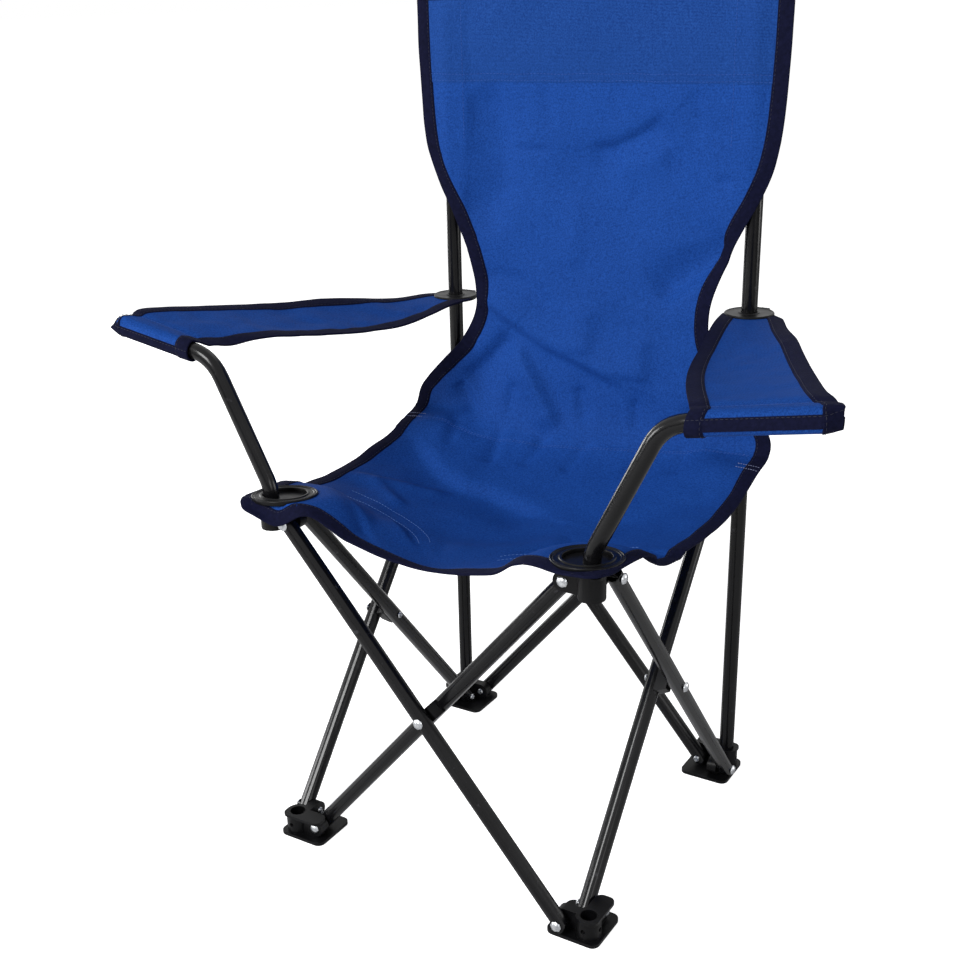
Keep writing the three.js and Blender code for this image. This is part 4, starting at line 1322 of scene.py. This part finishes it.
    def pockets(self, sewing: Sewing) -> list[bpy.types.Object]:
        """The two post pockets, hung on their posts, and their seams on the back, given back."""
        plan = self.plan
        seams = []
        for side, sign in SIDES:
            sheet = self.pocket_sheet(sign)
            rows, cols = (count - 1 for count in sheet.grid.shape[:2])
            own = Sewing(sheet, cloth_t=0.7 * MM)
            piece = own.panel(f"post_pocket_{side}", (0, rows), (0, cols))
            foot = sheet.run(Side.FRONT, 0, cols)
            hem = own.band(f"post_pocket_hem_{side}", foot, 0.5 * MM, 11 * MM)
            for part in (piece, hem):
                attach(part, f"foot_rear_{side}")
                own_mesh(part)
            z = np.linspace(self.pocket_foot, plan.back_top - 4 * MM, 60)
            wide = float(self.seat_width(np.array(plan.junction_y)))
            share = sign * (plan.corner - self.pocket_in) / self.back_width(z)
            row = np.interp(z, (plan.back_fold_z, plan.back_top), self.rows[3:])
            places = np.stack([row, self.column_at(share * wide, wide)], axis=1)
            points, normals = sewing.sheet.line(places)
            high = np.where(points[:, 2] > self.yoke_hem + 2 * MM, 0.6 * MM, 0.05 * MM)
            points += normals * high[:, None]
            thread, name = Finish.BLUE_THREAD, f"pocket_seam_{side}"
            seams.append(sewing.seam(name, points, normals, thread, 0.03 * MM))
        return seams

    def corners(self, sewing: Sewing) -> None:
        """The seat's front corner tabs, which stay on their hubs under the rings."""
        plan = self.plan
        tab_row = self.rows[0]
        c0, c1, cols = self.cols
        for (side, sign), edge, span in zip(SIDES, (Side.LEFT, Side.RIGHT), ((0, c0), (c1, cols))):

            def in_hole(p: Vector, at: float = sign * plan.ring_at) -> bool:
                """Whether a place lies in the hole under the ring."""
                return math.hypot(p.x - at, p.y + plan.ring_at) < plan.seat_hole_r + 3.5 * MM

            panel = sewing.panel(f"seat_corner_cloth_{side}", (0, tab_row), span, gone=in_hole)
            rim, front = sewing.sheet.run(edge, 0, tab_row), sewing.sheet.run(Side.FRONT, *span)
            sewn = sewing.bound("seat_corner", f"side_{side}", rim)
            sewn += sewing.bound("seat_corner", f"front_{side}", front, sewing.over_tape)
            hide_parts(f"seat_corner_{side}")
            for piece in (panel, *sewn):
                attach(piece, f"hub_front_{side}")
            LOG.info("seat corner %s: cloth and two tapes", side)


# ---------------------------------------------------------------- armrests
@dataclass
class Armrest:
    """One armrest: a tapering sheet from the back post's ring to a sleeve round the arm tube."""

    plan: ChairPlan
    side: str
    tab: float = 30 * MM
    sleeve_r: float = 10.02 * MM
    elbow: tuple[float, float] = (236.13 * MM, 522.84 * MM)
    slope: float = 21 / 121
    # Where the tube ends across the sleeve, and how far the sleeve closes there: down and flat.
    tube_end: float = 0.9
    ends: dict = field(default_factory=lambda: {"left": (0.84, 0.2), "right": (0.12, 0.84)})
    # The turn that the sleeve takes round the tube, and where its tape starts, in degrees.
    wrap: float = 290.0
    tape_turn: dict = field(default_factory=lambda: {"left": 126, "right": 108})
    reach: dict = field(default_factory=lambda: {"left": -9, "right": 8})
    bag: dict = field(default_factory=lambda: {"left": 0.14, "right": 0.34})
    seed: dict = field(default_factory=lambda: {"left": 21.0, "right": 33.0})
    slack: dict = field(default_factory=lambda: {"left": 2.4, "right": 1.3})
    droop: dict = field(default_factory=lambda: {"left": 7 * MM, "right": 0.0})
    rows_wrap: int = 30
    rows_half: int = 40
    rows_tab: int = 15
    cols: int = 34

    @property
    def sign(self) -> int:
        """Which way is outward."""
        return dict(SIDES)[self.side]

    def across(self, f: np.ndarray, y: np.ndarray) -> np.ndarray:
        """Distance from the middle plane, from the inner edge at f = 0 to the outer edge at 1."""
        s = self.plan.corner
        t = np.clip((s - y) / (2 * s), 0, 1)
        inner, outer = mix(-26, 84, t) - 18 * np.sin(np.pi * t), mix(34, 194, t)
        outer = outer + self.reach[self.side] * bell(y + s, 24 * MM)
        taper = 1 - 0.7 * smooth((y - s + 12 * MM) / (36 * MM))
        return s + mix(inner, outer, f) * taper * MM

    def surface(self, f: np.ndarray, y: np.ndarray) -> np.ndarray:
        """The slung sheet, drawn for the right side."""
        plan = self.plan
        x = self.across(f, y)
        hinge = plan.corner - self.tab
        t = np.clip((hinge - y) / (hinge + plan.corner), 0, 1)
        lean = 2 * f - 1
        slung = plan.ring_z[self.side] + 12 * MM * lean * smooth(3 * t)
        slung = slung - 6 * MM * np.sin(np.pi * t) * (1 - lean**2)
        sleeve = self.elbow[1] + (x - self.elbow[0]) * self.slope + self.sleeve_r + 0.4 * MM
        flatter = self.ends[self.side][0] * 1.35 * self.sleeve_r * self.pinch(f)
        flatter = flatter * bell(y + plan.corner, 15 * MM)
        return points_at(x, y, mix(slung, sleeve, smooth(t)) - flatter)

    def pinch(self, f: np.ndarray) -> np.ndarray:
        """How far the sleeve has closed past the tube: 0 on it, and 1 at the outer edge."""
        return smooth((f - self.tube_end) / (1.01 - self.tube_end))

    def cut(self) -> Sheet:
        """Lays out the whole armrest, from the sleeve's end, round the tube, to the rear tab."""
        plan, tube = self.plan, self.sleeve_r
        f = np.linspace(0, 1, self.cols + 1)
        low, thin = (1 - share * self.pinch(f) for share in self.ends[self.side])
        centre = self.surface(f, -plan.corner) - np.outer(tube * low, [0, 0, 1])
        rows = []
        for angle in np.radians(np.linspace(self.wrap, 0, self.rows_wrap + 1))[:-1]:
            r = tube * (1 + self.bag[self.side] * math.exp(-(((angle - 2.1) / 0.9) ** 2)))
            flat = (tube + (r - tube) * (1 - self.pinch(f))) * low * math.cos(angle)
            rows.append(centre + points_at(0.0, -r * thin * math.sin(angle), flat))
        hinge, middle, end = plan.corner - self.tab, -self.tab / 2, plan.corner + self.tab
        for y0, y1 in ((-plan.corner, middle), (middle, hinge)):
            rows += [self.surface(f, y) for y in np.linspace(y0, y1, self.rows_half + 1)[:-1]]
        rows += [self.surface(f, y) for y in np.linspace(hinge, end, self.rows_tab + 1)]
        grid = np.array(rows)
        grid = grid + Sheet(grid).normals() * self.creases(grid)[..., None]
        return Sheet(grid if self.sign > 0 else grid[:, ::-1] * [-1, 1, 1])

    def creases(self, grid: np.ndarray) -> np.ndarray:
        """The dent behind the sleeve, the slack in the cloth and its drooping inner edge."""
        side, y = self.side, grid[..., 1]
        f = np.linspace(0, 1, grid.shape[1])[None, :]
        flat = (np.arange(len(grid)) > self.rows_wrap)[:, None]
        behind = y + self.plan.corner
        dent = -2.2 * MM * bell(behind - 15 * MM, 5 * MM) * flat
        before = self.plan.corner - self.tab - y
        loose = smooth(behind / (40 * MM)) * smooth(before / (50 * MM)) * flat
        seed = self.seed[side]
        waves = rough(grid, 0.045, seed, 2) + rough(grid, 0.02, seed + 4, 1) * 0.4
        waves = waves * self.slack[side] * MM * loose * mix(0.3, 1.2, np.sin(np.pi * f))
        droop = self.droop[side] * (1 - f) ** 3 * bell(behind - 34 * MM, 24 * MM) * flat
        return dent + waves - droop

    def build(self) -> None:
        """Sews the armrest and hangs its three parts."""
        plan, side = self.plan, self.side
        sheet = self.cut()
        sewing = Sewing(sheet)
        a = self.rows_wrap + self.rows_half
        b = a + self.rows_half

        def in_hole(p: Vector) -> bool:
            """Whether a place lies in the ring's hole."""
            away = math.hypot(p.x - self.sign * plan.corner, p.y - plan.corner)
            return away < plan.tube_r + 4 * MM

        tube, ring = f"arm_tube_{side}", f"armrest_ring_{side}"
        parts = {
            "front": (f"armrest_front_{side}", (0, a), None, [tube]),
            "rear": (f"armrest_rear_{side}", (a, b), None, [tube, ring]),
            "tab": (f"hub_rear_{side}", (b, b + self.rows_tab), in_hole, [ring]),
        }
        for label, (body, span, gone, holds) in parts.items():
            panel = sewing.panel(f"armrest_cloth_{label}_{side}", span, (0, self.cols), gone=gone)
            sewn = []
            for edge in (Side.LEFT, Side.RIGHT):
                run = sheet.run(edge, max(span[0], 2), span[1])
                sewn += sewing.bound("armrest", f"{label}_{edge.value}_{side}", run)
            if label == "front":
                sewn += self.sleeve_trim(sewing)
            if label == "tab":
                end, name = sheet.run(Side.TOP, 0, self.cols), f"armrest_tape_end_{side}"
                sewn.append(sewing.binding(name, end, sewing.tape * 0.8, sewing.over_tape))
            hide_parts(f"armrest_{label}_{side}")
            for piece in (panel, *sewn):
                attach(piece, body)
            width, length, area = sheet.cut_size(span)
        LOG.info("armrest %s: three panels bound with tape", side)

    def sleeve_trim(self, sewing: Sewing) -> list[bpy.types.Object]:
        """The tape across the front of the sleeve, and the seam behind the tube."""
        side = self.side
        start = int(self.rows_wrap * (1 - self.tape_turn[side] / self.wrap))
        tables = (sewing.sheet.grid, sewing.sheet.normals())
        run = Run(*(table[start : start + 16].swapaxes(0, 1) for table in tables))
        place = np.linspace(2.5, self.cols - 2.5, 60)
        behind = self.rows_wrap + 15 * MM / ((self.plan.corner - self.tab / 2) / self.rows_half)
        seam_places = np.stack([np.full_like(place, behind), place], axis=1)
        row = run.inset(10 * MM)
        return [
            sewing.band(f"sleeve_tape_{side}", run, 0.3 * MM, 11.5 * MM),
            sewing.seam(f"sleeve_tape_seam_{side}", *row, Finish.DARK_THREAD, 0.9 * MM),
            sewing.sew(f"sleeve_seam_{side}", seam_places, Finish.BLUE_THREAD),
        ]


# ---------------------------------------------------------------- rings, loops and frame
@dataclass
class RingPair:
    """The black rings that grip the cloth, turned with raised rims."""

    plan: ChairPlan
    armrest_rim: float = 25 * MM
    # Corners of each ring's upper face, in millimetres: from its hole or its rim, and up.
    seat_steps: Sequence[tuple] = (
        ("hole", 2.2, 2.3), ("hole", 3.0, 1.2), ("hole", 6.6, 1.1), ("hole", 7.2, 1.9),
        ("hole", 8.2, 1.9), ("hole", 8.8, 1.1), ("rim", -2.2, 1.1), ("rim", -1.6, 2.2),
        ("rim", -0.6, 2.1), ("rim", 0, 1.2), ("rim", 0, 0.2),
    )
    armrest_steps: Sequence[tuple] = (
        ("hole", 2.0, 2.4), ("hole", 3.0, 1.4), ("rim", -3.0, 1.5), ("rim", -2.0, 2.1),
        ("rim", -0.7, 2.0), ("rim", 0, 1.2), ("rim", 0, 0.2),
    )
    # Those of every ring's lower face, back to the foot of its bore.
    under_steps: Sequence[tuple] = (
        ("rim", -0.3, -1.6), ("rim", -1.2, -3.1), ("rim", -2.4, -3.5), ("hole", 1.0, -3.5),
        ("hole", 0, -2.9),
    )

    def profile(self, hole: float, rim: float, collar: float, steps: Sequence) -> list[tuple]:
        """The section of a ring, up from the foot of its bore and round.

        Args:
            hole: Radius of the hole.
            rim: Outer radius.
            collar: Height of the collar round the hole, in millimetres.
            steps: The upper face's corners, outward.

        Returns:
            Radius and height of each corner, in metres.
        """
        corners = [("hole", 0, collar - 0.5), ("hole", 0.5, collar), *steps, *self.under_steps]
        start = {"hole": hole, "rim": rim}
        return [(start[side] + out * MM, up * MM) for side, out, up in corners]

    def build(self) -> None:
        """Turns the four rings, and the floors of the seat's two, and puts each on its hub."""
        plan = self.plan
        for side, sign in SIDES:
            hole, above = plan.seat_hole_r, 0.1 * MM
            at = Vector((sign * plan.ring_at, -plan.ring_at, plan.seat_z + above))
            profile = self.profile(hole, plan.seat_ring_r, 2.3, self.seat_steps)
            ring = Bench.turned(f"seat_ring_disc_{side}", profile, at)
            Bench.clear()
            low = at - Vector((0, 0, 2.4 * MM))
            bpy.ops.mesh.primitive_cylinder_add(vertices=Bench.ROUND, radius=hole + 0.8 * MM,
                                                depth=1.2 * MM, location=low)
            floor = Bench.named(f"seat_ring_floor_{side}")
            bpy.ops.object.transform_apply(location=True, rotation=True, scale=True)
            for piece, node in ((ring, f"seat_ring_{side}"), (floor, None)):
                self.lean(piece, sign)
                self.finish(piece, node, f"hub_front_{side}")
            at = Vector((sign * plan.corner, plan.corner, plan.ring_z[side] + above))
            bore = plan.tube_r + 0.3 * MM
            profile = self.profile(bore, self.armrest_rim, 2.4, self.armrest_steps)
            ring = Bench.turned(f"armrest_ring_disc_{side}", profile, at)
            self.finish(ring, f"armrest_ring_{side}", f"hub_rear_{side}")
        LOG.info("rings: two on the seat's corners and two on the back posts")

    def lean(self, piece: bpy.types.Object, sign: int) -> None:
        """Tips a piece with the seat ring that the cloth pulls down."""
        places = Bench.places(piece)
        places[:, 2] -= self.plan.ring_drop(places[:, 0], places[:, 1], sign)
        Bench.shape(piece, places)

    @staticmethod
    def finish(ring: bpy.types.Object, node: Optional[str], body: str) -> None:
        """Rounds the ring's edges, dresses it and puts it on its hub."""
        Bench.round_edges(ring, 0.22 * MM, 25)
        Bench.apply(ring)
        Bench.soften(ring, 35.0)
        Finish.PLASTIC.put_on(ring)
        if node:
            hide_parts(node)
        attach(ring, body)


@dataclass
class PostLoops:
    """The webbing loops that hold the seat's rear corners to the back posts."""

    plan: ChairPlan
    height: float = 17 * MM
    thick: float = 1.5 * MM

    def build(self) -> None:
        """Makes each loop with its strap to the seat, on its rear hub."""
        plan = self.plan
        bore = plan.tube_r + 0.35 * MM
        base = plan.seat_z - 0.8 * MM
        turns = np.linspace(0, 2 * math.pi, 49)
        ring = np.stack([np.sin(turns), np.cos(turns)], axis=1) * bore
        toe_y = np.full_like(turns, plan.junction_y + 2.5 * MM - plan.corner)
        toe = np.stack([np.sign(np.sin(turns)) * 1.2 * MM, toe_y], axis=1)
        x, y = mix(ring, toe, smooth((-np.cos(turns) - 0.55) / 0.4)[:, None]).T
        heights = base + np.linspace(0, 1, 9)[:, None] * self.height
        for side, sign in SIDES:
            grid = points_at(sign * plan.corner + x, plan.corner + y, heights)
            sewing = Sewing(Sheet(grid), cloth_t=self.thick)
            loop = sewing.panel(f"post_loop_{side}", (0, 8), (0, 48), Finish.TAPE)
            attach(loop, f"hub_rear_{side}")
        LOG.info("post loops: one at each rear corner of the seat")


@dataclass
class Frame:
    """The carried-over tubes, mouldings and rivets."""

    nodes: dict
    edge: float = 0.5 * MM
    rivet_edge: float = 0.25 * MM

    @staticmethod
    def finish_of(name: str) -> Finish:
        """The finish of a node, by its name."""
        if name.startswith(("leg_", "back_post_", "arm_tube_")):
            return Finish.TUBE
        return Finish.ZINC if name.startswith("rivet_") else Finish.PLASTIC

    def build(self) -> None:
        """Dresses each shown node, its edges eased."""
        for name, node in self.nodes.items():
            finish = self.finish_of(name)
            finish.put_on(node)
            if node.hide_render:
                continue
            weld = node.modifiers.new("weld", "WELD")
            weld.merge_threshold = 0.02 * MM
            Bench.round_edges(node, self.rivet_edge if finish is Finish.ZINC else self.edge, 50)
            level = node.modifiers.new("level", "WEIGHTED_NORMAL")
            level.keep_sharp = False
            node.data.shade_smooth()
        LOG.info("frame: %d nodes dressed", len(self.nodes))


# ---------------------------------------------------------------- studio and camera
@dataclass
class Studio:
    """A white sweep and soft lamps round the chair."""

    floor_half: float = 60.0
    ambient: float = 0.2
    aim: tuple[float, float, float] = (0, 0, 0.42)
    # Each lamp's place, power and size.
    lamps: dict = field(default_factory=lambda: {
        "key": ((-0.65, -2.5, 2.15), 88.0, 1.1),
        "left": ((-2.8, -1.6, 0.9), 40.0, 0.8),
        "right": ((2.7, -1.7, 0.9), 12.0, 1.0),
        "back": ((0.2, 1.6, 2.6), 4.5, 1.2),
        "rim_left": ((-2.4, 1.1, 0.55), 13.0, 0.8),
        "rim_right": ((2.4, 1.1, 0.55), 13.0, 0.8),
    })

    def build(self) -> None:
        """Makes the floor, the world and the lamps."""
        Bench.clear()
        bpy.ops.mesh.primitive_plane_add(size=2 * self.floor_half, location=(0, 0, -0.5 * MM))
        floor = Bench.named("studio_floor")
        white = bpy.data.materials.new("studio_white")
        self.whiten(NodeBoard(white))
        floor.data.materials.append(white)
        world = bpy.data.worlds.new("studio_surround")
        bpy.context.scene.world = world
        self.surround(NodeBoard(world))
        for name, (place, power, size) in self.lamps.items():
            self.lamp(f"lamp_{name}", place, power, size)
        LOG.info("studio: floor, world and %d lamps", len(self.lamps))

    @staticmethod
    def whiten(board: NodeBoard) -> None:
        """Makes a white that keeps the chair's shadow and shows as white to the camera."""
        white = board.add("ShaderNodeBsdfDiffuse", {"Color": (0.86, 0.86, 0.86, 1)})
        off, glow = (
            board.add("ShaderNodeEmission", {"Color": (*[level] * 3, 1), "Strength": strength})
            for level, strength in ((0, 0.0), (1, 0.88))
        )
        seen = board.add("ShaderNodeLightPath"), "Is Camera Ray"
        pick = board.add("ShaderNodeMixShader", {0: seen, 1: (off, 0), 2: (glow, 0)})
        total = board.add("ShaderNodeAddShader", {0: (white, 0), 1: (pick, 0)})
        board.add("ShaderNodeOutputMaterial", {"Surface": (total, 0)})

    def surround(self, board: NodeBoard) -> None:
        """Makes a soft white surround, full white where it is seen or mirrored."""
        soft, shown = (
            board.add("ShaderNodeBackground", {"Color": (1, 1, 1, 1), "Strength": strength})
            for strength in (self.ambient, 1.0)
        )
        path = board.add("ShaderNodeLightPath")
        first = board.maths("MAXIMUM", (path, "Is Camera Ray"), (path, "Is Glossy Ray"))
        either = board.maths("MAXIMUM", first, (path, "Is Transmission Ray"))
        pick = board.add("ShaderNodeMixShader", {0: either, 1: (soft, 0), 2: (shown, 0)})
        board.add("ShaderNodeOutputWorld", {"Surface": (pick, 0)})

    def lamp(self, name: str, place: tuple[float, float, float], power: float, size: float) -> None:
        """Hangs an area lamp aimed at the middle of the chair.

        Args:
            name: The lamp's name.
            place: Where it hangs.
            power: Its power, in watts.
            size: The side of its square, in metres.
        """
        light = bpy.data.lights.new(name, "AREA")
        light.energy = power
        light.size = size
        lamp = bpy.data.objects.new(name, light)
        bpy.context.scene.collection.objects.link(lamp)
        lamp.location = place
        lamp.rotation_mode = "QUATERNION"
        lamp.rotation_quaternion = (Vector(self.aim) - Vector(place)).to_track_quat("-Z", "Y")


@dataclass
class Viewpoint:
    """The camera: where it stands, which way it looks, and how it frames the chair."""

    place: tuple[float, float, float] = (0.64499, -1.1254, 0.85299)
    azimuth: float = 33.82
    elevation: float = 21.61
    roll: float = -2.22
    lens: float = 50.632
    sensor: float = 36.0
    shift: tuple[float, float] = (0.05489, 0.03976)
    clip: tuple[float, float] = (0.05, 60.0)

    def build(self) -> None:
        """Makes the camera and the scene's colour settings."""
        a, e, r = (math.radians(v) for v in (self.azimuth, self.elevation, self.roll))
        back = Vector((math.sin(a) * math.cos(e), -math.cos(a) * math.cos(e), math.sin(e)))
        level = (-back).cross(Vector((0, 0, 1))).normalized()
        up = level.cross(-back)
        right = math.cos(r) * level + math.sin(r) * up
        above = -math.sin(r) * level + math.cos(r) * up
        data = bpy.data.cameras.new("camera")
        data.lens = self.lens
        data.sensor_width = self.sensor
        data.shift_x, data.shift_y = self.shift
        data.clip_start, data.clip_end = self.clip
        camera = bpy.data.objects.new("camera", data)
        bpy.context.scene.collection.objects.link(camera)
        turn = Matrix((right, above, back)).transposed().to_4x4()
        camera.matrix_world = Matrix.Translation(self.place) @ turn
        bpy.context.scene.camera = camera
        bpy.context.scene.view_settings.view_transform = "Standard"
        LOG.info("camera: placed")


def main() -> None:
    """Builds the dressed chair, its studio and its camera."""
    logging.basicConfig(level=logging.INFO, format="%(name)s: %(message)s")
    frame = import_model()
    Viewpoint().build()
    plan = ChairPlan.from_frame()
    Sling(plan).build()
    for side, _ in SIDES:
        Armrest(plan, side).build()
    RingPair(plan).build()
    PostLoops(plan).build()
    Frame(frame["nodes"]).build()
    Studio().build()


if __name__ == "__main__":
    main()
